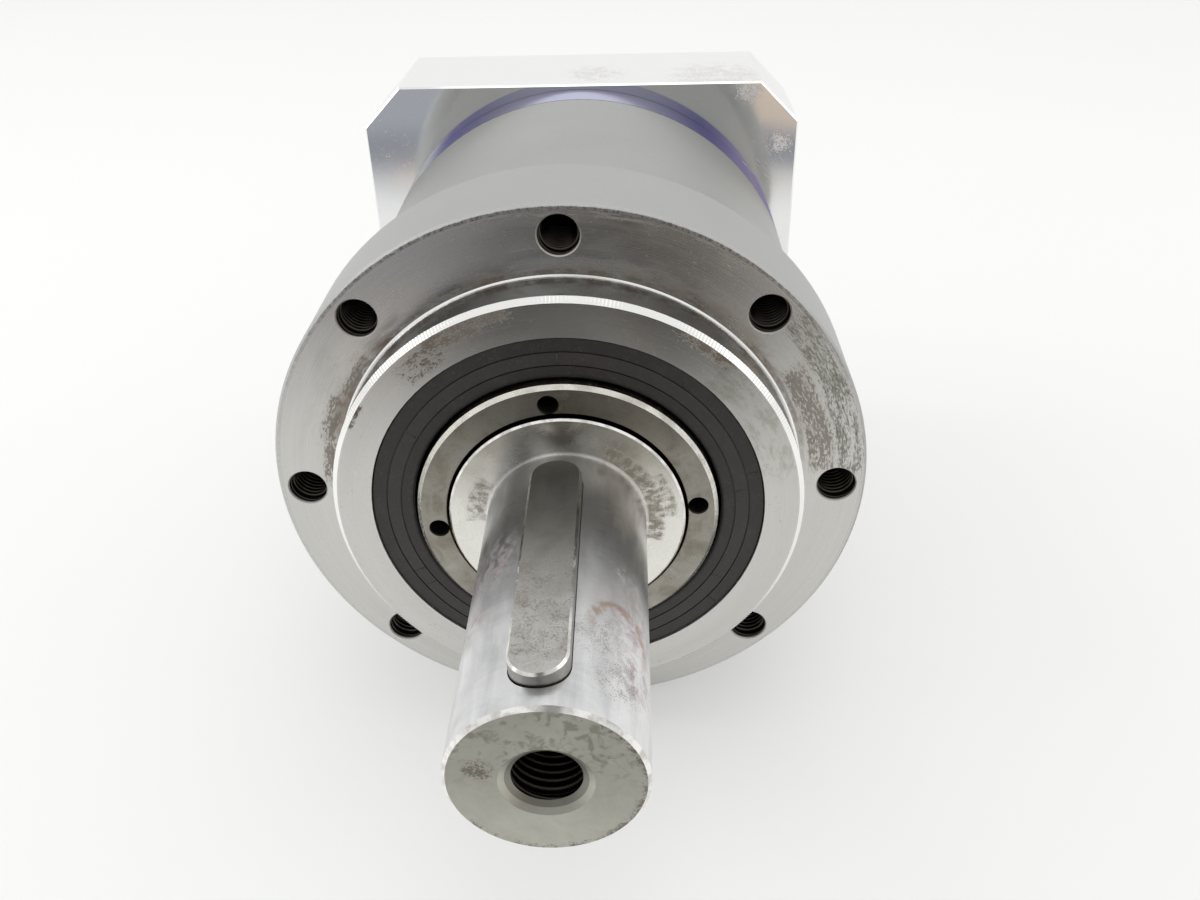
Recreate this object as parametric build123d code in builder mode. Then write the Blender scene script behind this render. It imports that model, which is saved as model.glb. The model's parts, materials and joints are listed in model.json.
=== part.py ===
"""Inline planetary gear reducer: keyed output shaft, round flange, square motor adapter plate.

The frame is in millimetres: X to the right, Y towards the motor, Z up, with the origin on the shaft axis
in the flange's mounting face. A station is a distance along the axis from that face, positive towards the
free end of the output shaft, so a station s lies in the plane Y = -s.
"""

from math import atan, cos, pi, radians, sin, tan
import os

from build123d import *

# Fits
RUNNING_GAP = 0.05
SLIP_GAP = 0.02

# Output shaft
SHAFT_R = 20.0
SHAFT_END = 97.0
SHAFT_SHOULDER = 15.0
SHAFT_CHAMFER_LENGTH = 0.9
SHAFT_CHAMFER_DEPTH = 0.8
COLLAR_R = 30.0
COLLAR_CHAMFER = 0.5
THREAD_RELIEF = 0.15
CENTRE_HOLE_R = 8.0
CENTRE_HOLE_DEPTH = 42.0
CENTRE_MOUTH_R = 9.3
CENTRE_MOUTH_DEPTH = 1.0
DRILL_POINT = 59.0

# Key
KEY_WIDTH = 12.0
KEY_HEIGHT = 8.0
KEY_LENGTH = 70.0
KEY_PROUD = 3.0
KEY_INSET = 6.7
KEY_EDGE = 0.5
KEY_SIDE_GAP = 0.14
KEY_END_GAP = 0.4
KEY_TURN = 3.0

# Housing
FLANGE_R = 77.5
FLANGE_BACK = -28.0
FLANGE_EDGE = 0.6
FLANGE_BACK_EDGE = 0.5
PILOT_R = 60.0
PILOT_END = 12.0
PILOT_CHAMFER = 1.3
PILOT_GROOVE_WIDTH = 0.7
PILOT_GROOVE_DEPTH = 0.5
BODY_R = 70.5
BODY_END = -112.0
SEAL_BORE_R = 50.0
SHOULDER_R = 45.0
REAR_SEAT_R = 55.0
RING_SEAT_R = 61.0
RING_SEAT_START = -66.0

# Tapped holes in the flange
FLANGE_BOLT_PCD = 140.0
FLANGE_BOLT_COUNT = 8
FLANGE_BOLT_R = 5.0
FLANGE_BOLT_DEPTH = 22.0
FLANGE_BOLT_MOUTH_R = 5.3

# Output seal
SEAL_FACE = 11.5
SEAL_BACK = 2.6
SEAL_LIP_R = 38.3
SEAL_RIB_RADII = (46.1, 42.5)
SEAL_RIB_WIDTH = 0.35
SEAL_RIB_DEPTH = 0.35
SEAL_WALL = 1.3
SEAL_EDGE = 0.4
SEAL_NECK_R = 41.5
SEAL_INNER_R = 39.6
SEAL_THROAT_R = 39.1
SEAL_SPRING_R = 42.5
SEAL_SPRING_WIRE_R = 0.8
SEAL_SPRING_STATION = 5.3
SEAL_LIP_OUTLINE = ((41.3, 8.4), (40.8, 6.6), (41.6, 5.4), (41.6, 4.2), (40.2, 4.2), (SEAL_LIP_R, 5.9),
                    (SEAL_LIP_R, 6.3), (SEAL_THROAT_R, 8.2))

# Lock nut and washer
NUT_R = 38.2
NUT_FACE = 13.7
NUT_BACK = 1.2
NUT_CHAMFER = 1.0
NUT_BORE_CHAMFER = 0.4
NUT_THREAD_END = 1.7
NUT_BORE_R = 30.3
NUT_HOLE_R = 2.6
NUT_HOLE_RADIUS = 33.2
NUT_HOLE_DEPTH = 7.0
NUT_HOLE_COUNT = 4
NUT_HOLE_TURN = 95.8
WASHER_R = 36.5

# Taper roller bearings
FRONT_BEARING_END = -23.0
REAR_BEARING_START = -33.0
REAR_BEARING_END = -60.0
REAR_SHAFT_R = 32.5
REAR_SHAFT_START = -34.0
SPACER_R = 36.0
ROLLER_COUNT = 22
ROLLER_CLEARANCE = 0.03
CAGE_CLEARANCE = 0.2
CAGE_THICKNESS = 1.4
RIB_HEIGHT = 1.8
SMALL_RIB_HEIGHT = 0.9
RIB_GAP = 0.06
CUP_SET_BACK = 2.0
CONE_SHORT = 1.0

# Gear stage
MODULE = 2.0
PRESSURE_ANGLE = 20.0
SUN_TEETH = 18
PLANET_TEETH = 18
RING_TEETH = 54
PLANET_COUNT = 3
BACKLASH = 0.12
RING_TIP_R = 52.4
DEDENDUM = 1.25
GEAR_FRONT = -72.1
GEAR_BACK = -93.9
RING_GEAR_BACK = -97.0
SUN_FRONT = -72.8
SUN_BACK = -96.0
TIP_CHAMFER = 0.5

# Planet carrier
CARRIER_R = 50.0
CARRIER_HUB_R = 40.0
CARRIER_FRONT = -62.0
CARRIER_FACE = -71.0
CARRIER_PLATE_FRONT = -95.0
CARRIER_PLATE_BACK = -103.0
CARRIER_BORE_R = 22.5
POST_R = 8.5
POST_RADIUS = 41.0
PIN_R = 7.0
PIN_FRONT = -63.5
NEEDLE_R = 1.5
NEEDLE_COUNT = 16
NEEDLE_LENGTH = 18.0
PLANET_BORE_R = 10.0
THRUST_WASHER_R = 14.0
THRUST_WASHER_THICKNESS = 1.0
CARRIER_SCREW_R = 3.0
CARRIER_SCREW_HEAD_R = 5.0
CARRIER_SCREW_HEAD = 6.0
CARRIER_SCREW_LENGTH = 12.0

# Intermediate flange
SPIGOT_R = 61.0
SPIGOT_BORE_R = 52.8
SPIGOT_DISC = -104.5
INTERMEDIATE_END = -124.0
BEARING_LIP_R = 34.0
INPUT_BEARING_FRONT = -108.0
INPUT_BEARING_R = 37.5
O_RING_WIRE_R = 0.9
O_RING_GROOVE = 2.0
O_RING_GROOVE_WIDTH = 2.4
HOUSING_O_RING_STATION = -107.6
PLATE_O_RING_R = 48.0
O_RING_INSET = O_RING_WIRE_R + RUNNING_GAP
FLANGE_SCREW_COUNT = 8
FLANGE_SCREW_RADIUS = 65.0
FLANGE_SCREW_R = 2.5
FLANGE_SCREW_HEAD_R = 4.25
FLANGE_SCREW_HEAD = 5.0
FLANGE_SCREW_LENGTH = 18.0
FLANGE_SCREW_DEPTH = 16.0

# Adapter plate
PLATE_HALF = 72.0
PLATE_CORNER = 12.8
PLATE_EDGE = 0.5
PLATE_END = -166.0
PLATE_SEAL_BORE_R = 35.0
PLATE_SEAL_END = -132.0
PLATE_NECK_R = 27.0
PLATE_NECK_END = -134.0
PLATE_CAVITY_R = 42.0
MOTOR_PILOT_R = 55.0
MOTOR_PILOT_DEPTH = 8.0
MOTOR_BOLT_PCD = 145.0
MOTOR_BOLT_COUNT = 4
MOTOR_BOLT_TURN = 45.0
MOTOR_BOLT_R = 4.0
MOTOR_BOLT_DEPTH = 22.0
PLATE_SCREW_COUNT = 4
PLATE_SCREW_RADIUS = 62.0
PLATE_SCREW_R = 4.0
PLATE_SCREW_HEAD_R = 6.5
PLATE_SCREW_HEAD = 8.0
PLATE_SCREW_SINK = 9.0
PLATE_SCREW_LENGTH = 42.0
PLATE_SCREW_HOLE_END = -114.0

# Input shaft
SUN_JOURNAL_R = 15.0
INPUT_SEAT_R = 22.5
INPUT_SHOULDER_R = 25.5
INPUT_SHOULDER_FRONT = -106.0
CIRCLIP_THICKNESS = 1.75
CIRCLIP_GROOVE_R = 21.3
CIRCLIP_R = 26.0
CIRCLIP_LUG_RADIUS = 25.0
CIRCLIP_LUG_R = 3.2
CIRCLIP_EYE_R = 1.1
CIRCLIP_LUG_TURNS = (-70.0, -110.0)
CIRCLIP_OPENING = 8.0
HUB_R = 22.0
HUB_END = -157.5
HUB_BORE_R = 16.0
HUB_BORE_END = -123.0
HUB_SLIT = 2.0
HUB_SLIT_END = -138.0
MOTOR_SHAFT_R = 12.0
BUSHING_FRONT = -125.0
BALL_R = 4.35
BALL_TRACK_R = 4.4
BALL_PITCH_R = 30.0
BALL_COUNT = 12
INPUT_RING_EDGE_IN = 27.4
INPUT_RING_EDGE_OUT = 32.6
BALL_CAGE_IN = 28.9
BALL_CAGE_OUT = 31.1
BALL_CAGE_WIDTH = 11.0
BALL_POCKET_GAP = 0.15
INPUT_SEAL_FRONT = -126.6
INPUT_SEAL_END = -132.0
INPUT_SEAL_WALL_R = 32.6
INPUT_LIP_R = HUB_R + RUNNING_GAP
INPUT_LIP_OUTLINE = ((24.5, INPUT_SEAL_END), (INPUT_LIP_R, -130.2), (INPUT_LIP_R, -129.8), (24.2, -128.4),
                     (25.6, -128.4), (26.2, -130.6), (INPUT_SEAL_WALL_R, -130.6))

# Clamp collar, its screw and the access plug
COLLAR_FRONT = -140.0
COLLAR_BACK = -156.0
CLAMP_R = 36.5
CLAMP_SLIT = 4.0
CLAMP_SCREW_OFFSET = 29.3
CLAMP_SCREW_R = 4.0
CLAMP_SCREW_HEAD_R = 6.5
CLAMP_SCREW_HEAD = 8.0
CLAMP_SCREW_TIP = -17.0
CLAMP_HEAD_SEAT = 9.0
CLAMP_FLAT = 17.5
PLUG_R = 8.0
PLUG_LENGTH = 12.0
PLUG_HEAD_R = 10.0
PLUG_HEAD = 2.5
PLUG_RECESS = 2.8
PLUG_WALL = 2.0
PLUG_EDGE = 0.6

HEX_RATIO = 0.55
HEX_DEPTH_RATIO = 0.5
SCREW_EDGE_RATIO = 0.17
SCREW_HOLE_GAP = 0.25
CUT_OVERRUN = 1.0

PLANET_R = MODULE * (SUN_TEETH + PLANET_TEETH) / 2
PLANET_TURNS = [90.0 + k * 360.0 / PLANET_COUNT for k in range(PLANET_COUNT)]
POST_TURNS = [turn + 180.0 / PLANET_COUNT for turn in PLANET_TURNS]
CLAMP_STATION = (COLLAR_FRONT + COLLAR_BACK) / 2
AXIS_Y = Axis((0, 0, 0), (0, 1, 0))
screw_plane = Plane(origin=(0, -CLAMP_STATION, CLAMP_SCREW_OFFSET), x_dir=(0, 1, 0), z_dir=(1, 0, 0))


def station(s):
    """Plane across the axis at a station: x is X, y is Z, and its normal points to the output end."""
    return Plane.XZ.offset(s)


def polar(radius, turn):
    """Point (x, z) at a radius and a turn in degrees, counted from +X towards +Z."""
    return (radius * cos(radians(turn)), radius * sin(radians(turn)))


def half_section(*corners):
    """Closed half section of a turned piece, from its (radius, station) corners."""
    with BuildSketch() as section:
        with BuildLine():
            Polyline(*((radius, -s) for radius, s in corners), close=True)
        make_face()
    return section.sketch


def tube(inner, outer, front, back):
    """Half section of a plain ring."""
    return half_section((inner, front), (outer, front), (outer, back), (inner, back))


def wire_ring(radius, wire_r, s):
    """Half section of a ring of round wire."""
    with BuildSketch() as section:
        with Locations((radius, -s)):
            Circle(wire_r)
    return section.sketch


def cap_screw(head_face, shank_r, head_r, head, length):
    """Socket head cap screw along the axis: head face at a station, shank towards the output."""
    under_head = head_face + head
    shank_end = under_head + length
    socket_depth = head * HEX_DEPTH_RATIO
    socket_r = head_r * HEX_RATIO
    edge = shank_r * SCREW_EDGE_RATIO
    with BuildPart() as screw:
        revolve(half_section(
            (0, head_face), (head_r - edge, head_face), (head_r, head_face + edge), (head_r, under_head),
            (shank_r, under_head), (shank_r, shank_end - edge), (shank_r - edge, shank_end),
            (0, shank_end)), axis=AXIS_Y)
        with BuildSketch(station(head_face)):
            RegularPolygon(socket_r, 6)
        extrude(amount=socket_depth, mode=Mode.SUBTRACT)
    return screw.part


def involute_point(base_r, radius, half_angle_at_base):
    """Point of an involute flank at a radius, for a tooth that stands on the sketch's x axis."""
    pressure = (radius / base_r) ** 2 - 1
    roll = pressure ** 0.5
    angle = half_angle_at_base - (roll - atan(roll))
    return Vector(radius * cos(angle), radius * sin(angle))


def gear_outline(teeth, tip_r, root_r, pitch_thickness, turn):
    """Closed outline of a gear whose tooth at the given turn is centred there, with arcs for its flanks."""
    pitch_r = MODULE * teeth / 2
    base_r = pitch_r * cos(radians(PRESSURE_ANGLE))
    involute = tan(radians(PRESSURE_ANGLE)) - radians(PRESSURE_ANGLE)
    half_base = pitch_thickness / (2 * pitch_r) + involute
    start_r = max(base_r, root_r)
    flank = [involute_point(base_r, r, half_base) for r in (start_r, (start_r + tip_r) / 2, tip_r)]
    foot = flank[0] * (root_r / start_r)
    pitch_angle = 360.0 / teeth
    with BuildSketch() as sketch:
        with BuildLine():
            for k in range(teeth):
                spin = turn + k * pitch_angle
                rising = [Vector(p.X, -p.Y).rotate(Axis.Z, spin) for p in flank]
                falling = [Vector(p.X, p.Y).rotate(Axis.Z, spin) for p in reversed(flank)]
                foot_in = Vector(foot.X, -foot.Y).rotate(Axis.Z, spin)
                foot_out = Vector(foot.X, foot.Y).rotate(Axis.Z, spin)
                next_foot = foot_in.rotate(Axis.Z, pitch_angle)
                crown = Vector(tip_r, 0).rotate(Axis.Z, spin)
                valley = Vector(root_r, 0).rotate(Axis.Z, spin + pitch_angle / 2)
                if start_r > root_r:
                    Line(foot_in, rising[0])
                ThreePointArc(*rising)
                ThreePointArc(rising[-1], crown, falling[0])
                ThreePointArc(*falling)
                if start_r > root_r:
                    Line(falling[-1], foot_out)
                ThreePointArc(foot_out, valley, next_foot)
        make_face()
    return sketch.sketch


def external_gear(teeth, turn):
    """Outline of an external gear with backlash taken from its teeth."""
    pitch_r = MODULE * teeth / 2
    thickness = pi * MODULE / 2 - BACKLASH / 2
    return gear_outline(teeth, pitch_r + MODULE, pitch_r - DEDENDUM * MODULE, thickness, turn)


class TaperBearing:
    """Raceways of a taper roller bearing: two cones that meet at an apex on the axis."""

    def __init__(self, small_s, large_s, inner_small_r, inner_large_r, outer_large_r):
        """Keep the stations of the roller's ends, and the cones through the given raceway radii."""
        self.small_s = small_s
        self.large_s = large_s
        self.inner_slope = (inner_large_r - inner_small_r) / (large_s - small_s)
        self.apex = small_s - inner_small_r / self.inner_slope
        self.outer_slope = outer_large_r / (large_s - self.apex)
        inner_angle = atan(abs(self.inner_slope))
        outer_angle = atan(abs(self.outer_slope))
        self.tilt = (inner_angle + outer_angle) / 2
        self.half_cone = (outer_angle - inner_angle) / 2
        self.sense = 1.0 if large_s > small_s else -1.0

    def inner_r(self, s):
        """Radius of the inner raceway at a station."""
        return self.inner_slope * (s - self.apex)

    def outer_r(self, s):
        """Radius of the outer raceway at a station."""
        return self.outer_slope * (s - self.apex)

    def along(self, s):
        """Distance from the apex, along a roller's own axis, of the point of that axis at a station."""
        return abs(s - self.apex) / cos(self.tilt)

    def rib_s(self):
        """Station of the rib face that guides the rollers' large ends."""
        end_r = self.along(self.large_s) * tan(self.half_cone)
        return self.large_s + self.sense * (end_r * sin(self.tilt) + RIB_GAP)

    def roller_plane(self):
        """Plane through the apex with its x axis along the first roller's own axis."""
        x_dir = (sin(self.tilt), -self.sense * cos(self.tilt), 0)
        return Plane(origin=(0, -self.apex, 0), x_dir=x_dir, z_dir=(0, 0, 1))

    def conical(self, near, far, low, high):
        """Four-sided section in the roller plane, from near to far, between the low and high offsets."""
        with BuildSketch(self.roller_plane()) as section:
            with BuildLine():
                Polyline((near, low(near)), (far, low(far)), (far, high(far)), (near, high(near)), close=True)
            make_face()
        return section.sketch

    def roller(self, growth):
        """One roller on the first place, grown or shrunk in radius and length."""
        near = self.along(self.small_s) - growth
        far = self.along(self.large_s) + growth
        plane = self.roller_plane()
        section = self.conical(near, far, lambda d: 0.0, lambda d: d * tan(self.half_cone) + growth)
        with BuildPart() as roller:
            revolve(section, axis=Axis(plane.origin, plane.x_dir))
        return roller.part

    def cage_blank(self):
        """Conical shell on the roller axes, a little longer than the rollers."""
        rim = CAGE_THICKNESS
        near = self.along(self.small_s) - rim
        far = self.along(self.large_s) + rim
        half = CAGE_THICKNESS / 2
        with BuildPart() as blank:
            revolve(self.conical(near, far, lambda d: -half, lambda d: half), axis=AXIS_Y)
        return blank.part


FRONT = TaperBearing(small_s=-18.5, large_s=-3.5, inner_small_r=34.0, inner_large_r=37.3, outer_large_r=45.8)
REAR = TaperBearing(small_s=-38.5, large_s=-55.5, inner_small_r=37.0, inner_large_r=40.8, outer_large_r=49.8)


def repeat(solid, count):
    """Copies of a solid spaced evenly about the shaft axis."""
    return [solid.rotate(AXIS_Y, k * 360.0 / count) for k in range(count)]


def save(part, name):
    """Label one node and write its file."""
    part.label = name
    export_step(part, f"parts/{name}.step")


os.makedirs("parts", exist_ok=True)

# ---------------------------------------------------------------- gear housing
with BuildPart() as gear_housing:
    groove_r = PILOT_R + PILOT_GROOVE_WIDTH
    revolve(half_section(
        (SEAL_BORE_R, PILOT_END), (PILOT_R - PILOT_CHAMFER, PILOT_END), (PILOT_R, PILOT_END - PILOT_CHAMFER),
        (PILOT_R, -PILOT_GROOVE_DEPTH), (groove_r, -PILOT_GROOVE_DEPTH), (groove_r + PILOT_GROOVE_DEPTH, 0),
        (FLANGE_R - FLANGE_EDGE, 0), (FLANGE_R, -FLANGE_EDGE), (FLANGE_R, FLANGE_BACK + FLANGE_BACK_EDGE),
        (FLANGE_R - FLANGE_BACK_EDGE, FLANGE_BACK), (BODY_R, FLANGE_BACK), (BODY_R, BODY_END),
        (RING_SEAT_R, BODY_END), (RING_SEAT_R, RING_SEAT_START), (REAR_SEAT_R, RING_SEAT_START),
        (REAR_SEAT_R, REAR_BEARING_START), (SHOULDER_R, REAR_BEARING_START), (SHOULDER_R, FRONT_BEARING_END),
        (SEAL_BORE_R, FRONT_BEARING_END)), axis=AXIS_Y)
    with BuildSketch(station(0)):
        with PolarLocations(FLANGE_BOLT_PCD / 2, FLANGE_BOLT_COUNT):
            Circle(FLANGE_BOLT_R)
    extrude(amount=-FLANGE_BOLT_DEPTH, mode=Mode.SUBTRACT)
    mouth = FLANGE_BOLT_MOUTH_R - FLANGE_BOLT_R
    circles = gear_housing.edges().filter_by(GeomType.CIRCLE)
    rims = circles.filter_by(lambda edge: abs(edge.radius - FLANGE_BOLT_R) < mouth)
    chamfer(rims.group_by(Axis.Y)[0], mouth)
    with BuildSketch(station(BODY_END)):
        with PolarLocations(FLANGE_SCREW_RADIUS, FLANGE_SCREW_COUNT, start_angle=180.0 / FLANGE_SCREW_COUNT):
            Circle(FLANGE_SCREW_R)
    extrude(amount=FLANGE_SCREW_DEPTH, mode=Mode.SUBTRACT)
save(gear_housing.part, "gear_housing")

# ---------------------------------------------------------------- output shaft with its planet carrier
key_floor = SHAFT_R + KEY_PROUD - KEY_HEIGHT
key_middle = SHAFT_SHOULDER + KEY_INSET + KEY_LENGTH / 2
with BuildPart() as key_slot:
    with BuildSketch(Plane.XY.offset(key_floor)):
        with Locations((0, -key_middle)):
            SlotOverall(KEY_LENGTH + 2 * KEY_END_GAP, KEY_WIDTH + 2 * KEY_SIDE_GAP, rotation=90)
    extrude(amount=KEY_HEIGHT)

with BuildPart() as output_shaft:
    thread_r = COLLAR_R - THREAD_RELIEF
    revolve(half_section(
        (0, SHAFT_END), (SHAFT_R - SHAFT_CHAMFER_DEPTH, SHAFT_END),
        (SHAFT_R, SHAFT_END - SHAFT_CHAMFER_LENGTH), (SHAFT_R, SHAFT_SHOULDER),
        (thread_r - COLLAR_CHAMFER, SHAFT_SHOULDER),
        (thread_r, SHAFT_SHOULDER - COLLAR_CHAMFER), (thread_r, NUT_BACK), (COLLAR_R, NUT_BACK),
        (COLLAR_R, REAR_SHAFT_START), (REAR_SHAFT_R, REAR_SHAFT_START), (REAR_SHAFT_R, REAR_BEARING_END),
        (CARRIER_HUB_R, REAR_BEARING_END), (CARRIER_HUB_R, CARRIER_FRONT), (CARRIER_R, CARRIER_FRONT),
        (CARRIER_R, CARRIER_FACE), (0, CARRIER_FACE)), axis=AXIS_Y)
    hole_end = SHAFT_END - CENTRE_HOLE_DEPTH
    revolve(half_section(
        (0, SHAFT_END), (CENTRE_MOUTH_R, SHAFT_END), (CENTRE_HOLE_R, SHAFT_END - CENTRE_MOUTH_DEPTH),
        (CENTRE_HOLE_R, hole_end), (0, hole_end - CENTRE_HOLE_R / tan(radians(DRILL_POINT)))),
        axis=AXIS_Y, mode=Mode.SUBTRACT)
    add(key_slot.part.rotate(AXIS_Y, -KEY_TURN), mode=Mode.SUBTRACT)
    with BuildSketch(station(CARRIER_PLATE_FRONT)):
        with Locations([polar(POST_RADIUS, turn) for turn in POST_TURNS]):
            Circle(POST_R)
    extrude(amount=CARRIER_FACE - CARRIER_PLATE_FRONT)
    with BuildSketch(station(CARRIER_FACE)):
        with Locations([polar(PLANET_R, turn) for turn in PLANET_TURNS]):
            Circle(PIN_R)
    extrude(amount=PIN_FRONT - CARRIER_FACE, mode=Mode.SUBTRACT)
    with BuildSketch(station(CARRIER_PLATE_FRONT)):
        with Locations([polar(POST_RADIUS, turn) for turn in POST_TURNS]):
            Circle(CARRIER_SCREW_R)
    extrude(amount=CARRIER_SCREW_LENGTH, mode=Mode.SUBTRACT)
save(output_shaft.part, "output_shaft")

with BuildPart() as parallel_key:
    with BuildSketch(Plane.XY.offset(key_floor)):
        with Locations((0, -key_middle)):
            SlotOverall(KEY_LENGTH, KEY_WIDTH, rotation=90)
    extrude(amount=KEY_HEIGHT)
    chamfer(parallel_key.faces().sort_by(Axis.Z)[-1].edges(), KEY_EDGE)
save(parallel_key.part.rotate(AXIS_Y, -KEY_TURN), "parallel_key")

with BuildPart() as carrier_plate:
    revolve(tube(CARRIER_BORE_R, CARRIER_R, CARRIER_PLATE_FRONT, CARRIER_PLATE_BACK), axis=AXIS_Y)
    plate_thickness = CARRIER_PLATE_FRONT - CARRIER_PLATE_BACK
    with BuildSketch(station(CARRIER_PLATE_BACK)):
        with Locations([polar(PLANET_R, turn) for turn in PLANET_TURNS]):
            Circle(PIN_R)
        with Locations([polar(POST_RADIUS, turn) for turn in POST_TURNS]):
            Circle(CARRIER_SCREW_R + RUNNING_GAP)
    extrude(amount=plate_thickness, mode=Mode.SUBTRACT)
    with BuildSketch(station(CARRIER_PLATE_BACK)):
        with Locations([polar(POST_RADIUS, turn) for turn in POST_TURNS]):
            Circle(CARRIER_SCREW_HEAD_R + 2 * RUNNING_GAP)
    extrude(amount=CARRIER_SCREW_HEAD, mode=Mode.SUBTRACT)
save(carrier_plate.part, "carrier_plate")

carrier_screw = cap_screw(CARRIER_PLATE_BACK, CARRIER_SCREW_R - SLIP_GAP, CARRIER_SCREW_HEAD_R,
                          CARRIER_SCREW_HEAD, CARRIER_SCREW_LENGTH)
with BuildPart() as carrier_screws:
    for turn in POST_TURNS:
        x, z = polar(POST_RADIUS, turn)
        add(carrier_screw.moved(Location((x, 0, z))))
save(carrier_screws.part, "carrier_screws")

with BuildPart() as planet_pins:
    with BuildSketch(station(CARRIER_PLATE_BACK)):
        with Locations([polar(PLANET_R, turn) for turn in PLANET_TURNS]):
            Circle(PIN_R - SLIP_GAP)
    extrude(amount=PIN_FRONT - CARRIER_PLATE_BACK)
    chamfer(planet_pins.edges().group_by(Axis.Y)[-1], TIP_CHAMFER)
save(planet_pins.part, "planet_pins")

with BuildPart() as planet_thrust_washers:
    for washer_back in (CARRIER_FACE - THRUST_WASHER_THICKNESS, CARRIER_PLATE_FRONT):
        with BuildSketch(station(washer_back)):
            with Locations([polar(PLANET_R, turn) for turn in PLANET_TURNS]):
                Circle(THRUST_WASHER_R)
                Circle(PIN_R + RUNNING_GAP, mode=Mode.SUBTRACT)
        extrude(amount=THRUST_WASHER_THICKNESS)
save(planet_thrust_washers.part, "planet_thrust_washers")

# ---------------------------------------------------------------- lock nut, washer and spacer
with BuildPart() as lock_nut:
    revolve(half_section(
        (NUT_BORE_R + NUT_BORE_CHAMFER, NUT_FACE), (NUT_R - NUT_CHAMFER, NUT_FACE),
        (NUT_R, NUT_FACE - NUT_CHAMFER), (NUT_R, NUT_BACK), (COLLAR_R, NUT_BACK),
        (COLLAR_R, NUT_BACK + NUT_THREAD_END), (NUT_BORE_R, NUT_BACK + NUT_THREAD_END),
        (NUT_BORE_R, NUT_FACE - NUT_BORE_CHAMFER)), axis=AXIS_Y)
    with BuildSketch(station(NUT_FACE)):
        with PolarLocations(NUT_HOLE_RADIUS, NUT_HOLE_COUNT, start_angle=NUT_HOLE_TURN):
            Circle(NUT_HOLE_R)
    extrude(amount=-NUT_HOLE_DEPTH, mode=Mode.SUBTRACT)
save(lock_nut.part, "lock_nut")

with BuildPart() as lock_washer:
    revolve(tube(COLLAR_R + RUNNING_GAP, WASHER_R, NUT_BACK, 0), axis=AXIS_Y)
save(lock_washer.part, "lock_washer")

with BuildPart() as bearing_spacer:
    spacer_front = FRONT_BEARING_END + CONE_SHORT
    revolve(tube(COLLAR_R + RUNNING_GAP, SPACER_R, spacer_front, REAR_SHAFT_START), axis=AXIS_Y)
save(bearing_spacer.part, "bearing_spacer")

# ---------------------------------------------------------------- output seal
SEAL_FACE_BACK = SEAL_FACE - SEAL_WALL
SEAL_CASE_R = SEAL_BORE_R - SEAL_WALL
with BuildPart() as output_seal_rubber:
    revolve(half_section(
        (SEAL_INNER_R, SEAL_FACE), (SEAL_BORE_R - SEAL_EDGE, SEAL_FACE), (SEAL_BORE_R, SEAL_FACE - SEAL_EDGE),
        (SEAL_BORE_R, SEAL_BACK), (SEAL_CASE_R, SEAL_BACK), (SEAL_CASE_R, SEAL_FACE_BACK),
        (SEAL_NECK_R, SEAL_FACE_BACK), *SEAL_LIP_OUTLINE,
        (SEAL_THROAT_R, SEAL_FACE - SEAL_EDGE)), axis=AXIS_Y)
    for rib_radius in SEAL_RIB_RADII:
        half_width = SEAL_RIB_WIDTH / 2
        groove = tube(rib_radius - half_width, rib_radius + half_width, SEAL_FACE, SEAL_FACE - SEAL_RIB_DEPTH)
        revolve(groove, axis=AXIS_Y, mode=Mode.SUBTRACT)
save(output_seal_rubber.part, "output_seal_rubber")

with BuildPart() as output_seal_case:
    case_inner_r = SEAL_CASE_R - SEAL_WALL
    case_floor = SEAL_FACE_BACK - SEAL_WALL
    revolve(half_section(
        (SEAL_NECK_R, SEAL_FACE_BACK), (SEAL_CASE_R, SEAL_FACE_BACK), (SEAL_CASE_R, SEAL_BACK),
        (case_inner_r, SEAL_BACK), (case_inner_r, case_floor), (SEAL_NECK_R, case_floor)), axis=AXIS_Y)
save(output_seal_case.part, "output_seal_case")

with BuildPart() as output_seal_spring:
    revolve(wire_ring(SEAL_SPRING_R, SEAL_SPRING_WIRE_R, SEAL_SPRING_STATION), axis=AXIS_Y)
save(output_seal_spring.part, "output_seal_spring")

# ---------------------------------------------------------------- front taper roller bearing
with BuildPart() as front_bearing_inner_ring:
    bore_r = COLLAR_R + SLIP_GAP
    large = FRONT.rib_s()
    small = FRONT.small_s - RIB_GAP
    rib_r = FRONT.inner_r(large) + RIB_HEIGHT
    small_rib_r = FRONT.inner_r(small) + SMALL_RIB_HEIGHT
    revolve(half_section(
        (bore_r, 0), (rib_r, 0), (rib_r, large), (FRONT.inner_r(large), large), (FRONT.inner_r(small), small),
        (small_rib_r, small), (small_rib_r, spacer_front), (bore_r, spacer_front)), axis=AXIS_Y)
save(front_bearing_inner_ring.part, "front_bearing_inner_ring")

with BuildPart() as front_bearing_outer_ring:
    cup_front = -CUP_SET_BACK
    revolve(half_section(
        (FRONT.outer_r(cup_front), cup_front), (SEAL_BORE_R, cup_front), (SEAL_BORE_R, FRONT_BEARING_END),
        (FRONT.outer_r(FRONT_BEARING_END), FRONT_BEARING_END)), axis=AXIS_Y)
save(front_bearing_outer_ring.part, "front_bearing_outer_ring")

with BuildPart() as rear_bearing_inner_ring:
    large = REAR.rib_s()
    small = REAR.small_s + RIB_GAP
    rib_r = REAR.inner_r(large) + RIB_HEIGHT
    small_rib_r = REAR.inner_r(small) + SMALL_RIB_HEIGHT
    revolve(half_section(
        (REAR_SHAFT_R, REAR_BEARING_END), (rib_r, REAR_BEARING_END), (rib_r, large),
        (REAR.inner_r(large), large), (REAR.inner_r(small), small), (small_rib_r, small),
        (small_rib_r, REAR_SHAFT_START), (REAR_SHAFT_R, REAR_SHAFT_START)), axis=AXIS_Y)
save(rear_bearing_inner_ring.part, "rear_bearing_inner_ring")

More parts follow.
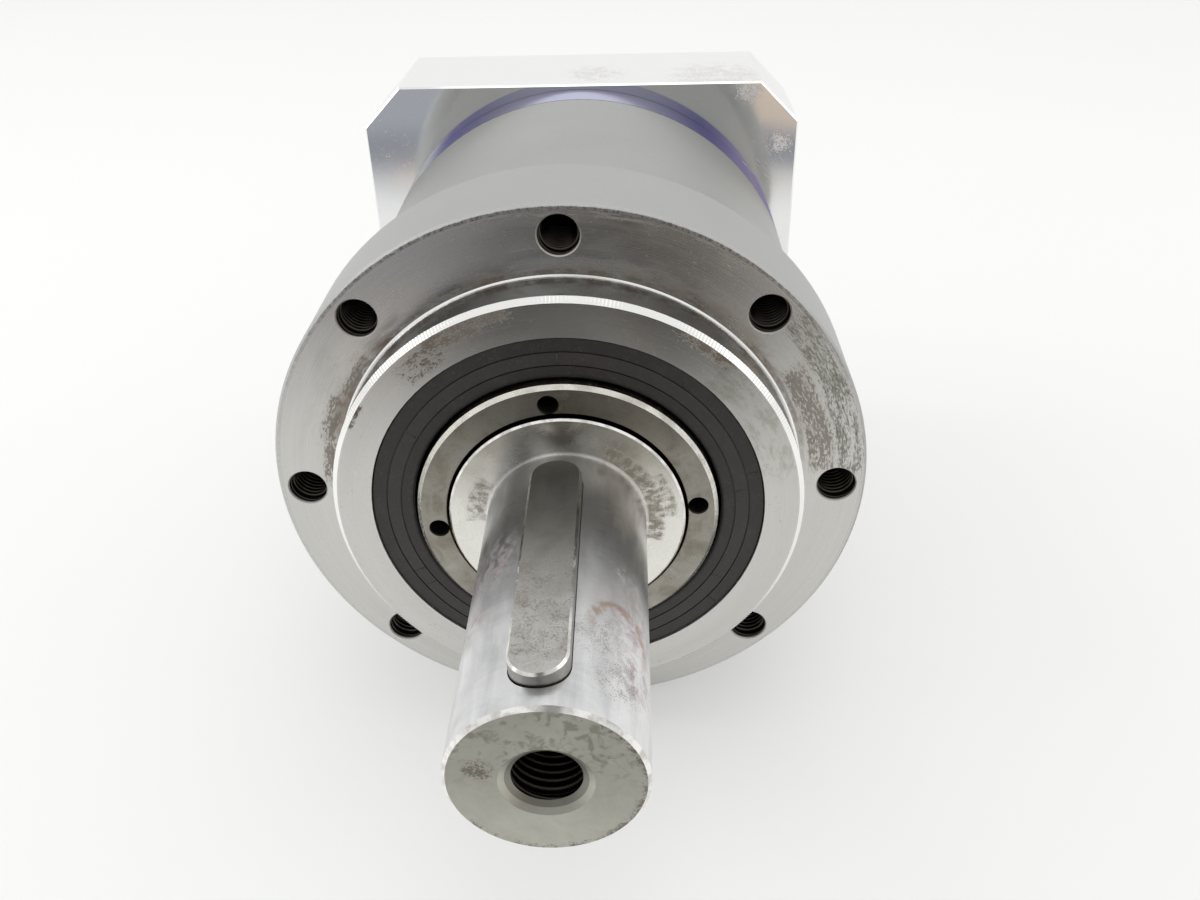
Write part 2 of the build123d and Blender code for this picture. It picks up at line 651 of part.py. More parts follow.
with BuildPart() as rear_bearing_outer_ring:
    cup_back = REAR_BEARING_END + CUP_SET_BACK
    revolve(half_section(
        (REAR.outer_r(cup_back), cup_back), (REAR_SEAT_R, cup_back), (REAR_SEAT_R, REAR_BEARING_START),
        (REAR.outer_r(REAR_BEARING_START), REAR_BEARING_START)), axis=AXIS_Y)
save(rear_bearing_outer_ring.part, "rear_bearing_outer_ring")

for bearing_name, bearing in (("front", FRONT), ("rear", REAR)):
    with BuildPart() as bearing_rollers:
        for roller in repeat(bearing.roller(-ROLLER_CLEARANCE), ROLLER_COUNT):
            add(roller)
    save(bearing_rollers.part, f"{bearing_name}_bearing_rollers")
    with BuildPart() as bearing_cage:
        add(bearing.cage_blank())
        for pocket in repeat(bearing.roller(CAGE_CLEARANCE), ROLLER_COUNT):
            add(pocket, mode=Mode.SUBTRACT)
    save(bearing_cage.part, f"{bearing_name}_bearing_cage")

# ---------------------------------------------------------------- gears
with BuildPart() as ring_gear:
    ring_pitch_r = MODULE * RING_TEETH / 2
    space_width = pi * MODULE / 2 + BACKLASH / 2
    half_pitch = 180.0 / RING_TEETH
    with BuildSketch(station(RING_GEAR_BACK)):
        Circle(RING_SEAT_R)
        add(gear_outline(RING_TEETH, ring_pitch_r + DEDENDUM * MODULE, RING_TIP_R, space_width,
                         PLANET_TURNS[0] + half_pitch), mode=Mode.SUBTRACT)
    extrude(amount=RING_SEAT_START - RING_GEAR_BACK)
save(ring_gear.part, "ring_gear")

for number, turn in enumerate(PLANET_TURNS, start=1):
    x, z = polar(PLANET_R, turn)
    with BuildPart() as planet_gear:
        with BuildSketch(station(GEAR_BACK)):
            with Locations((x, z)):
                add(external_gear(PLANET_TEETH, turn + 180.0 / PLANET_TEETH))
                Circle(PLANET_BORE_R, mode=Mode.SUBTRACT)
        extrude(amount=GEAR_FRONT - GEAR_BACK)
    save(planet_gear.part, f"planet_gear_{number}")
    with BuildPart() as planet_needles:
        with BuildSketch(station((GEAR_FRONT + GEAR_BACK - NEEDLE_LENGTH) / 2)):
            with Locations((x, z)):
                with PolarLocations(PIN_R + NEEDLE_R, NEEDLE_COUNT):
                    Circle(NEEDLE_R - SLIP_GAP)
        extrude(amount=NEEDLE_LENGTH)
    save(planet_needles.part, f"planet_needles_{number}")

# ---------------------------------------------------------------- sun gear on the input shaft
with BuildPart() as sun_gear_shaft:
    with BuildSketch(station(SUN_BACK)):
        add(external_gear(SUN_TEETH, PLANET_TURNS[0]))
    extrude(amount=SUN_FRONT - SUN_BACK)
    revolve(half_section(
        (0, SUN_BACK), (SUN_JOURNAL_R, SUN_BACK), (SUN_JOURNAL_R, INPUT_SHOULDER_FRONT),
        (INPUT_SHOULDER_R, INPUT_SHOULDER_FRONT), (INPUT_SHOULDER_R, INPUT_BEARING_FRONT),
        (INPUT_SEAT_R, INPUT_BEARING_FRONT), (INPUT_SEAT_R, INTERMEDIATE_END),
        (CIRCLIP_GROOVE_R, INTERMEDIATE_END), (CIRCLIP_GROOVE_R, INTERMEDIATE_END - CIRCLIP_THICKNESS),
        (HUB_R, INTERMEDIATE_END - CIRCLIP_THICKNESS), (HUB_R, HUB_END), (HUB_BORE_R, HUB_END),
        (HUB_BORE_R, HUB_BORE_END), (0, HUB_BORE_END)), axis=AXIS_Y)
    with BuildSketch(station(HUB_END)):
        Rectangle(2 * HUB_R + CUT_OVERRUN, HUB_SLIT)
        Rectangle(HUB_SLIT, 2 * HUB_R + CUT_OVERRUN)
    extrude(amount=HUB_SLIT_END - HUB_END, mode=Mode.SUBTRACT)
save(sun_gear_shaft.part, "sun_gear_shaft")

with BuildPart() as motor_shaft_bushing:
    with BuildSketch(station(HUB_END)):
        Circle(HUB_BORE_R - SLIP_GAP)
        Circle(MOTOR_SHAFT_R, mode=Mode.SUBTRACT)
        with Locations((0, -(HUB_BORE_R + MOTOR_SHAFT_R) / 2)):
            Rectangle(HUB_SLIT, HUB_BORE_R - MOTOR_SHAFT_R + CUT_OVERRUN, mode=Mode.SUBTRACT)
    extrude(amount=BUSHING_FRONT - HUB_END)
save(motor_shaft_bushing.part, "motor_shaft_bushing")

with BuildPart() as input_circlip:
    with BuildSketch(station(INTERMEDIATE_END - CIRCLIP_THICKNESS + SLIP_GAP)):
        Circle(CIRCLIP_R)
        with Locations([polar(CIRCLIP_LUG_RADIUS, lug_turn) for lug_turn in CIRCLIP_LUG_TURNS]):
            Circle(CIRCLIP_LUG_R)
        Circle(CIRCLIP_GROOVE_R + SLIP_GAP, mode=Mode.SUBTRACT)
        with Locations((0, -CIRCLIP_R)):
            Rectangle(CIRCLIP_OPENING, CIRCLIP_R / 2, mode=Mode.SUBTRACT)
        with Locations([polar(CIRCLIP_R, lug_turn) for lug_turn in CIRCLIP_LUG_TURNS]):
            Circle(CIRCLIP_EYE_R, mode=Mode.SUBTRACT)
    extrude(amount=CIRCLIP_THICKNESS - 2 * SLIP_GAP)
save(input_circlip.part, "input_circlip")

# ---------------------------------------------------------------- input ball bearing and seal
ball_station = (INPUT_BEARING_FRONT + INTERMEDIATE_END) / 2
track = wire_ring(BALL_PITCH_R, BALL_TRACK_R, ball_station)
with BuildPart() as input_bearing_inner_ring:
    bore_r = INPUT_SEAT_R + SLIP_GAP
    revolve(tube(bore_r, INPUT_RING_EDGE_IN, INPUT_BEARING_FRONT, INTERMEDIATE_END), axis=AXIS_Y)
    revolve(track, axis=AXIS_Y, mode=Mode.SUBTRACT)
save(input_bearing_inner_ring.part, "input_bearing_inner_ring")

with BuildPart() as input_bearing_outer_ring:
    revolve(tube(INPUT_RING_EDGE_OUT, INPUT_BEARING_R, INPUT_BEARING_FRONT, INTERMEDIATE_END), axis=AXIS_Y)
    revolve(track, axis=AXIS_Y, mode=Mode.SUBTRACT)
save(input_bearing_outer_ring.part, "input_bearing_outer_ring")

with BuildPart() as input_bearing_balls:
    for k in range(BALL_COUNT):
        x, z = polar(BALL_PITCH_R, k * 360.0 / BALL_COUNT)
        with Locations((x, -ball_station, z)):
            Sphere(BALL_R)
save(input_bearing_balls.part, "input_bearing_balls")

with BuildPart() as ball_pocket:
    with BuildSketch(Plane.YZ.offset(BALL_CAGE_IN - BALL_R)):
        with Locations((-ball_station, 0)):
            Circle(BALL_R + BALL_POCKET_GAP)
    extrude(amount=2 * BALL_R)

with BuildPart() as input_bearing_cage:
    cage_front = ball_station + BALL_CAGE_WIDTH / 2
    revolve(tube(BALL_CAGE_IN, BALL_CAGE_OUT, cage_front, cage_front - BALL_CAGE_WIDTH), axis=AXIS_Y)
    for pocket in repeat(ball_pocket.part, BALL_COUNT):
        add(pocket, mode=Mode.SUBTRACT)
save(input_bearing_cage.part, "input_bearing_cage")

with BuildPart() as input_seal:
    revolve(half_section(
        (PLATE_SEAL_BORE_R, INPUT_SEAL_FRONT), (PLATE_SEAL_BORE_R, INPUT_SEAL_END), *INPUT_LIP_OUTLINE,
        (INPUT_SEAL_WALL_R, INPUT_SEAL_FRONT)), axis=AXIS_Y)
save(input_seal.part, "input_seal")

# ---------------------------------------------------------------- intermediate flange
with BuildPart() as intermediate_flange:
    groove_half = O_RING_GROOVE_WIDTH / 2
    groove_floor_r = SPIGOT_R - O_RING_GROOVE
    groove_front = HOUSING_O_RING_STATION + groove_half
    groove_back = HOUSING_O_RING_STATION - groove_half
    revolve(half_section(
        (SPIGOT_BORE_R, RING_GEAR_BACK), (SPIGOT_R, RING_GEAR_BACK), (SPIGOT_R, groove_front),
        (groove_floor_r, groove_front), (groove_floor_r, groove_back), (SPIGOT_R, groove_back),
        (SPIGOT_R, BODY_END), (BODY_R, BODY_END), (BODY_R, INTERMEDIATE_END),
        (INPUT_BEARING_R, INTERMEDIATE_END), (INPUT_BEARING_R, INPUT_BEARING_FRONT),
        (BEARING_LIP_R, INPUT_BEARING_FRONT), (BEARING_LIP_R, SPIGOT_DISC), (SPIGOT_BORE_R, SPIGOT_DISC)),
        axis=AXIS_Y)
    with BuildSketch(station(INTERMEDIATE_END)):
        with PolarLocations(FLANGE_SCREW_RADIUS, FLANGE_SCREW_COUNT, start_angle=180.0 / FLANGE_SCREW_COUNT):
            Circle(FLANGE_SCREW_R + RUNNING_GAP)
    extrude(amount=BODY_END - INTERMEDIATE_END, mode=Mode.SUBTRACT)
    with BuildSketch(station(INTERMEDIATE_END)):
        with PolarLocations(FLANGE_SCREW_RADIUS, FLANGE_SCREW_COUNT, start_angle=180.0 / FLANGE_SCREW_COUNT):
            Circle(FLANGE_SCREW_HEAD_R + RUNNING_GAP)
    extrude(amount=FLANGE_SCREW_HEAD, mode=Mode.SUBTRACT)
    with BuildSketch(station(INTERMEDIATE_END)):
        with PolarLocations(PLATE_SCREW_RADIUS, PLATE_SCREW_COUNT):
            Circle(PLATE_SCREW_R)
    extrude(amount=PLATE_SCREW_HOLE_END - INTERMEDIATE_END, mode=Mode.SUBTRACT)
save(intermediate_flange.part, "intermediate_flange")

with BuildPart() as housing_o_ring:
    revolve(wire_ring(SPIGOT_R - O_RING_INSET, O_RING_WIRE_R, HOUSING_O_RING_STATION), axis=AXIS_Y)
save(housing_o_ring.part, "housing_o_ring")

with BuildPart() as plate_o_ring:
    revolve(wire_ring(PLATE_O_RING_R, O_RING_WIRE_R, INTERMEDIATE_END - O_RING_INSET), axis=AXIS_Y)
save(plate_o_ring.part, "plate_o_ring")

flange_screw = cap_screw(INTERMEDIATE_END, FLANGE_SCREW_R - SLIP_GAP, FLANGE_SCREW_HEAD_R, FLANGE_SCREW_HEAD,
                         FLANGE_SCREW_LENGTH)
with BuildPart() as flange_screws:
    x, z = polar(FLANGE_SCREW_RADIUS, 180.0 / FLANGE_SCREW_COUNT)
    for screw in repeat(flange_screw.moved(Location((x, 0, z))), FLANGE_SCREW_COUNT):
        add(screw)
save(flange_screws.part, "flange_screws")

# ---------------------------------------------------------------- adapter plate
with BuildPart() as adapter_plate:
    with BuildSketch(station(PLATE_END)):
        Rectangle(2 * PLATE_HALF, 2 * PLATE_HALF)
        chamfer(vertices(), PLATE_CORNER)
    extrude(amount=INTERMEDIATE_END - PLATE_END)
    for face in adapter_plate.faces().filter_by(Axis.Y):
        chamfer(face.outer_wire().edges(), PLATE_EDGE)
    o_ring_in = PLATE_O_RING_R - groove_half
    o_ring_out = PLATE_O_RING_R + groove_half
    pilot_floor = PLATE_END + MOTOR_PILOT_DEPTH
    revolve(half_section(
        (0, INTERMEDIATE_END), (PLATE_SEAL_BORE_R, INTERMEDIATE_END), (PLATE_SEAL_BORE_R, PLATE_SEAL_END),
        (PLATE_NECK_R, PLATE_SEAL_END), (PLATE_NECK_R, PLATE_NECK_END), (PLATE_CAVITY_R, PLATE_NECK_END),
        (PLATE_CAVITY_R, pilot_floor), (MOTOR_PILOT_R, pilot_floor), (MOTOR_PILOT_R, PLATE_END),
        (0, PLATE_END)), axis=AXIS_Y, mode=Mode.SUBTRACT)
    revolve(tube(o_ring_in, o_ring_out, INTERMEDIATE_END, INTERMEDIATE_END - O_RING_GROOVE), axis=AXIS_Y,
            mode=Mode.SUBTRACT)
    with BuildSketch(station(PLATE_END)):
        with PolarLocations(MOTOR_BOLT_PCD / 2, MOTOR_BOLT_COUNT, start_angle=MOTOR_BOLT_TURN):
            Circle(MOTOR_BOLT_R)
    extrude(amount=MOTOR_BOLT_DEPTH, mode=Mode.SUBTRACT)
    with BuildSketch(station(PLATE_END)):
        with PolarLocations(PLATE_SCREW_RADIUS, PLATE_SCREW_COUNT):
            Circle(PLATE_SCREW_R + SCREW_HOLE_GAP)
    extrude(amount=INTERMEDIATE_END - PLATE_END, mode=Mode.SUBTRACT)
    with BuildSketch(station(PLATE_END)):
        with PolarLocations(PLATE_SCREW_RADIUS, PLATE_SCREW_COUNT):
            Circle(PLATE_SCREW_HEAD_R + SCREW_HOLE_GAP)
    extrude(amount=PLATE_SCREW_SINK, mode=Mode.SUBTRACT)
    access_plane = screw_plane.offset(PLATE_HALF)
    with BuildSketch(access_plane):
        Circle(PLUG_R)
    extrude(amount=-PLATE_HALF + CLAMP_FLAT, mode=Mode.SUBTRACT)
    with BuildSketch(access_plane):
        Circle(PLUG_HEAD_R + 2 * RUNNING_GAP)
    extrude(amount=-PLUG_RECESS, mode=Mode.SUBTRACT)
save(adapter_plate.part, "adapter_plate")

plate_screw_face = PLATE_END + PLATE_SCREW_SINK - PLATE_SCREW_HEAD
plate_screw = cap_screw(plate_screw_face, PLATE_SCREW_R - SLIP_GAP, PLATE_SCREW_HEAD_R, PLATE_SCREW_HEAD,
                        PLATE_SCREW_LENGTH)
with BuildPart() as plate_screws:
    for screw in repeat(plate_screw.moved(Location((PLATE_SCREW_RADIUS, 0, 0))), PLATE_SCREW_COUNT):
        add(screw)
save(plate_screws.part, "plate_screws")

# ---------------------------------------------------------------- clamp collar, screw and access plug
with BuildPart() as clamp_collar:
    revolve(tube(HUB_R + SLIP_GAP, CLAMP_R, COLLAR_FRONT, COLLAR_BACK), axis=AXIS_Y)
    with BuildSketch(station(COLLAR_BACK)):
        with Locations((0, (HUB_R + CLAMP_R) / 2)):
            Rectangle(CLAMP_SLIT, CLAMP_R - HUB_R + CUT_OVERRUN)
    extrude(amount=COLLAR_FRONT - COLLAR_BACK, mode=Mode.SUBTRACT)
    with BuildSketch(screw_plane.offset(-CLAMP_R)):
        Circle(CLAMP_SCREW_R)
    extrude(amount=2 * CLAMP_R, mode=Mode.SUBTRACT)
    with BuildSketch(screw_plane.offset(CLAMP_HEAD_SEAT)):
        Circle(CLAMP_SCREW_HEAD_R + RUNNING_GAP)
    extrude(amount=CLAMP_R, mode=Mode.SUBTRACT)
save(clamp_collar.part, "clamp_collar")

along_axis = cap_screw(0, CLAMP_SCREW_R - SLIP_GAP, CLAMP_SCREW_HEAD_R, CLAMP_SCREW_HEAD,
                       CLAMP_HEAD_SEAT - CLAMP_SCREW_TIP)
with BuildPart() as clamp_screw:
    to_side = along_axis.rotate(Axis.Z, -90)
    head_x = CLAMP_HEAD_SEAT + CLAMP_SCREW_HEAD
    add(to_side.moved(Location((head_x, -CLAMP_STATION, CLAMP_SCREW_OFFSET))))
save(clamp_screw.part, "clamp_screw")

with BuildPart() as access_plug:
    plug_seat = -PLUG_RECESS
    plug_face = plug_seat + PLUG_HEAD
    plug_end = plug_seat - PLUG_LENGTH
    plug_side = PLUG_R - RUNNING_GAP
    with BuildSketch(Plane.XY):
        with BuildLine():
            Polyline((0, plug_face), (PLUG_HEAD_R - PLUG_EDGE, plug_face),
                     (PLUG_HEAD_R, plug_face - PLUG_EDGE), (PLUG_HEAD_R, plug_seat), (plug_side, plug_seat),
                     (plug_side, plug_end + PLUG_EDGE), (PLUG_R - PLUG_EDGE, plug_end),
                     (PLUG_R - PLUG_WALL, plug_end), (PLUG_R - PLUG_WALL, plug_seat), (0, plug_seat),
                     close=True)
        make_face()
    revolve(axis=Axis.Y)
plug_upright = access_plug.part.rotate(Axis.Z, -90)
plug_in_place = plug_upright.moved(Location((PLATE_HALF, -CLAMP_STATION, CLAMP_SCREW_OFFSET)))
save(plug_in_place, "access_plug")
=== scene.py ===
"""Looks of the inline gear reducer: materials, cut threads, small moulded details, light and camera."""

import json
from math import cos, pi, radians, sin

import bmesh
import bpy
from mathutils import Matrix, Vector


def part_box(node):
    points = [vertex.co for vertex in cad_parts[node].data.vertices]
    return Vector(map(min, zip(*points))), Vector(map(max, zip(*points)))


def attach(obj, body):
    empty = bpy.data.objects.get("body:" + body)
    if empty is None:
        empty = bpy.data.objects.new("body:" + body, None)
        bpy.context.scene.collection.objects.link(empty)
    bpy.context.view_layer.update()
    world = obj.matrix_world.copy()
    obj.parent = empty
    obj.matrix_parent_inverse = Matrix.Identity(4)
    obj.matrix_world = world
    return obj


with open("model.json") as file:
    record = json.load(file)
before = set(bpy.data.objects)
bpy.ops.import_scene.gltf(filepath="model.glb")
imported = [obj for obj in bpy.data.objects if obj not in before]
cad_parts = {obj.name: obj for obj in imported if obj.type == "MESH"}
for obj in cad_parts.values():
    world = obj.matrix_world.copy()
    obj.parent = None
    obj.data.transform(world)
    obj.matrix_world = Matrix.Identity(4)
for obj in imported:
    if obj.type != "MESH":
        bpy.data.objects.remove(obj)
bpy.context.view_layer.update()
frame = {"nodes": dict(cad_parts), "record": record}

MM = 0.001

# Places on the object, in millimetres, read from the frame. Y runs from the shaft's end to the motor side.
housing_low, housing_high = (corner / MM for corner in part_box("gear_housing"))
shaft_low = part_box("output_shaft")[0] / MM
plate_low, plate_high = (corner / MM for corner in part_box("adapter_plate"))
seal_low, seal_high = (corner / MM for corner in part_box("output_seal_rubber"))
violet_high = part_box("intermediate_flange")[1] / MM
nut_low, nut_high = (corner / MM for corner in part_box("lock_nut"))
key_low, key_high = (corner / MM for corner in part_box("parallel_key"))

FLANGE_R = housing_high.x
PILOT_FACE = housing_low.y
BODY_END = housing_high.y
SHAFT_END = shaft_low.y
PLATE_FRONT = plate_low.y
PLATE_BACK = plate_high.y
PLATE_HALF = plate_high.x
SEAL_FACE = seal_low.y
VIOLET_R = violet_high.x
NUT_FACE = nut_low.y
NUT_R = nut_high.x
FLANGE_BACK = 28.0
BODY_R = VIOLET_R
PILOT_R = 60.0
SEAL_R = seal_high.x
SHAFT_R = 20.0
COLLAR_FACE = -15.0
FLANGE_BOLT_CIRCLE_R = 70.0
FLANGE_BOLT_R = 5.0
CENTRE_THREAD_R = 8.0
CENTRE_CREST_R = 6.95
MOTOR_BOLT_CIRCLE_R = 72.5
MOTOR_BOLT_R = 4.0


class Finish:
    """A procedural material, with short helpers over its nodes. Places are in millimetres."""

    def __init__(self, name, colour, metallic, roughness, anisotropy=0.0):
        """Start a material with one principled shader."""
        self.material = bpy.data.materials.new(name)
        self.material.use_nodes = True
        self.tree = self.material.node_tree
        self.shader = self.tree.nodes["Principled BSDF"]
        self.shader.inputs["Base Color"].default_value = (*colour, 1)
        self.shader.inputs["Metallic"].default_value = metallic
        self.shader.inputs["Roughness"].default_value = roughness
        self.shader.inputs["Anisotropic"].default_value = anisotropy
        coordinates = self.node("ShaderNodeTexCoord")
        self.place = self.vector("SCALE", coordinates.outputs["Object"], scale=1 / MM)
        parts = self.node("ShaderNodeSeparateXYZ")
        self.link(self.place, parts.inputs[0])
        self.x, self.y, self.z = parts.outputs
        facing = self.node("ShaderNodeSeparateXYZ")
        self.link(coordinates.outputs["Normal"], facing.inputs[0])
        self.normal_x, self.normal_y, self.normal_z = facing.outputs

    def node(self, kind):
        """Add a node."""
        return self.tree.nodes.new(kind)

    def link(self, source, target):
        """Join a socket, or a plain value, to an input."""
        if isinstance(source, (int, float)):
            target.default_value = source
        elif isinstance(source, (tuple, list)):
            target.default_value = (*source, 1)[:len(target.default_value)]
        else:
            self.tree.links.new(source, target)

    def vector(self, operation, first, second=None, scale=None):
        """Vector arithmetic."""
        node = self.node("ShaderNodeVectorMath")
        node.operation = operation
        self.link(first, node.inputs[0])
        if second is not None:
            if isinstance(second, (tuple, list)):
                node.inputs[1].default_value = second
            else:
                self.link(second, node.inputs[1])
        if scale is not None:
            node.inputs["Scale"].default_value = scale
        return node.outputs["Value" if operation in ("LENGTH", "DISTANCE", "DOT_PRODUCT") else "Vector"]

    def math(self, operation, first, second=None, clamp=False):
        """Arithmetic on one or two values."""
        node = self.node("ShaderNodeMath")
        node.operation = operation
        node.use_clamp = clamp
        self.link(first, node.inputs[0])
        if second is not None:
            self.link(second, node.inputs[1])
        return node.outputs[0]

    def product(self, *values):
        """Product of several values."""
        total = values[0]
        for value in values[1:]:
            total = self.math("MULTIPLY", total, value)
        return total

    def highest(self, *values):
        """Largest of several values."""
        top = values[0]
        for value in values[1:]:
            top = self.math("MAXIMUM", top, value)
        return top

    def step(self, value, start, end):
        """Smooth step from 0 at start to 1 at end, or the other way when start is above end."""
        node = self.node("ShaderNodeMapRange")
        node.interpolation_type = "SMOOTHSTEP"
        self.link(value, node.inputs["Value"])
        rising = start < end
        node.inputs["From Min"].default_value = start if rising else end
        node.inputs["From Max"].default_value = end if rising else start
        node.inputs["To Min"].default_value = 0 if rising else 1
        node.inputs["To Max"].default_value = 1 if rising else 0
        return node.outputs["Result"]

    def span(self, value, low, high, soft):
        """1 between low and high, with soft edges outside them."""
        return self.product(self.step(value, low - soft, low), self.step(value, high + soft, high))

    def scaled(self, value, low, high):
        """A value from 0 to 1 spread from low to high."""
        return self.math("ADD", self.math("MULTIPLY", value, high - low), low)

    def radius(self):
        """Distance from the shaft axis."""
        across = self.math("MULTIPLY", self.x, self.x)
        squares = self.math("ADD", across, self.math("MULTIPLY", self.z, self.z))
        return self.math("SQRT", squares)

    def turn(self):
        """Angle about the shaft axis, in radians."""
        return self.math("ARCTAN2", self.z, self.x)

    def combine(self, x, y, z):
        """Vector from three values."""
        node = self.node("ShaderNodeCombineXYZ")
        for value, target in zip((x, y, z), node.inputs):
            self.link(value, target)
        return node.outputs[0]

    def noise(self, size, detail=2.0, roughness=0.5, place=None, distortion=0.0):
        """Noise from 0 to 1 with features of about a size in millimetres."""
        node = self.node("ShaderNodeTexNoise")
        self.link(self.place if place is None else place, node.inputs["Vector"])
        node.inputs["Scale"].default_value = 1 / size
        node.inputs["Detail"].default_value = detail
        node.inputs["Roughness"].default_value = roughness
        node.inputs["Distortion"].default_value = distortion
        return node.outputs["Fac"]

    def mix(self, share, first, second):
        """Blend two colours."""
        node = self.node("ShaderNodeMix")
        node.data_type = "RGBA"
        self.link(share, node.inputs["Factor"])
        for value, index in ((first, 6), (second, 7)):
            self.link(value, node.inputs[index])
        return node.outputs[2]

    def blend(self, share, first, second):
        """Blend two values."""
        node = self.node("ShaderNodeMix")
        self.link(share, node.inputs["Factor"])
        self.link(first, node.inputs[2])
        self.link(second, node.inputs[3])
        return node.outputs[0]

    def near(self, centre, reach, soft):
        """1 within a reach of a point, falling to 0 over a soft rim."""
        distance = self.vector("DISTANCE", self.place, centre)
        return self.step(distance, reach + soft, reach)

    def rings(self, width):
        """Fine turning lines about the shaft axis, on faces and on turned diameters."""
        along = self.math("ADD", self.radius(), self.y)
        lines = self.combine(along, 0.0, 0.0)
        slow = self.combine(self.math("MULTIPLY", along, 0.15), self.math("MULTIPLY", self.turn(), 0.8), 0.0)
        fine = self.noise(width, 3.0, 0.65, lines)
        drift = self.noise(width * 2, 2.0, 0.5, slow)
        return self.math("ADD", fine, self.math("MULTIPLY", drift, 0.4))

    def bump(self, height, distance):
        """Bump from a height of 0 to 1 that stands for a distance in millimetres. Bumps stack."""
        node = self.node("ShaderNodeBump")
        node.inputs["Distance"].default_value = distance * MM
        self.link(height, node.inputs["Height"])
        before = self.shader.inputs["Normal"]
        if before.is_linked:
            self.link(before.links[0].from_socket, node.inputs["Normal"])
        self.link(node.outputs[0], before)

    def set(self, **values):
        """Set the shader's inputs: colour, metallic, roughness or tangent."""
        for key, value in values.items():
            socket = "Base Color" if key == "colour" else key.capitalize()
            self.link(value, self.shader.inputs[socket])

    def turned_tangent(self):
        """Circular lay for the anisotropic highlight of turned faces."""
        node = self.node("ShaderNodeTangent")
        node.direction_type = "RADIAL"
        node.axis = "Y"
        self.set(tangent=node.outputs[0])

    def around(self, stretch=2.4):
        """Places unrolled about the shaft axis, so that marks drawn there run round it."""
        return self.combine(self.math("MULTIPLY", self.turn(), 60 / stretch), self.radius(), self.y)

    def arc(self, first, last, inner, outer, soft=2.0):
        """1 between two angles in degrees and between two radii about the shaft axis."""
        turns = self.span(self.turn(), radians(first), radians(last), radians(soft * 2))
        return self.product(turns, self.span(self.radius(), inner, outer, soft))

    def speckle(self, size, density, cluster=5.0, place=None):
        """Fine irregular specks that crowd where the density, from 0 to 1, is high."""
        fine = self.noise(size, 6.0, 0.72, place)
        crowd = self.product(density, self.scaled(self.noise(cluster, 3.0, 0.6, place), -0.6, 2.5))
        return self.step(self.math("ADD", fine, self.math("MULTIPLY", crowd, 0.24)), 0.62, 0.76)


RUST = (0.105, 0.062, 0.040)
OLIVE = (0.115, 0.105, 0.065)
BROWN = (0.20, 0.145, 0.10)
DARK_LINE_COLOUR = (0.05, 0.042, 0.034)


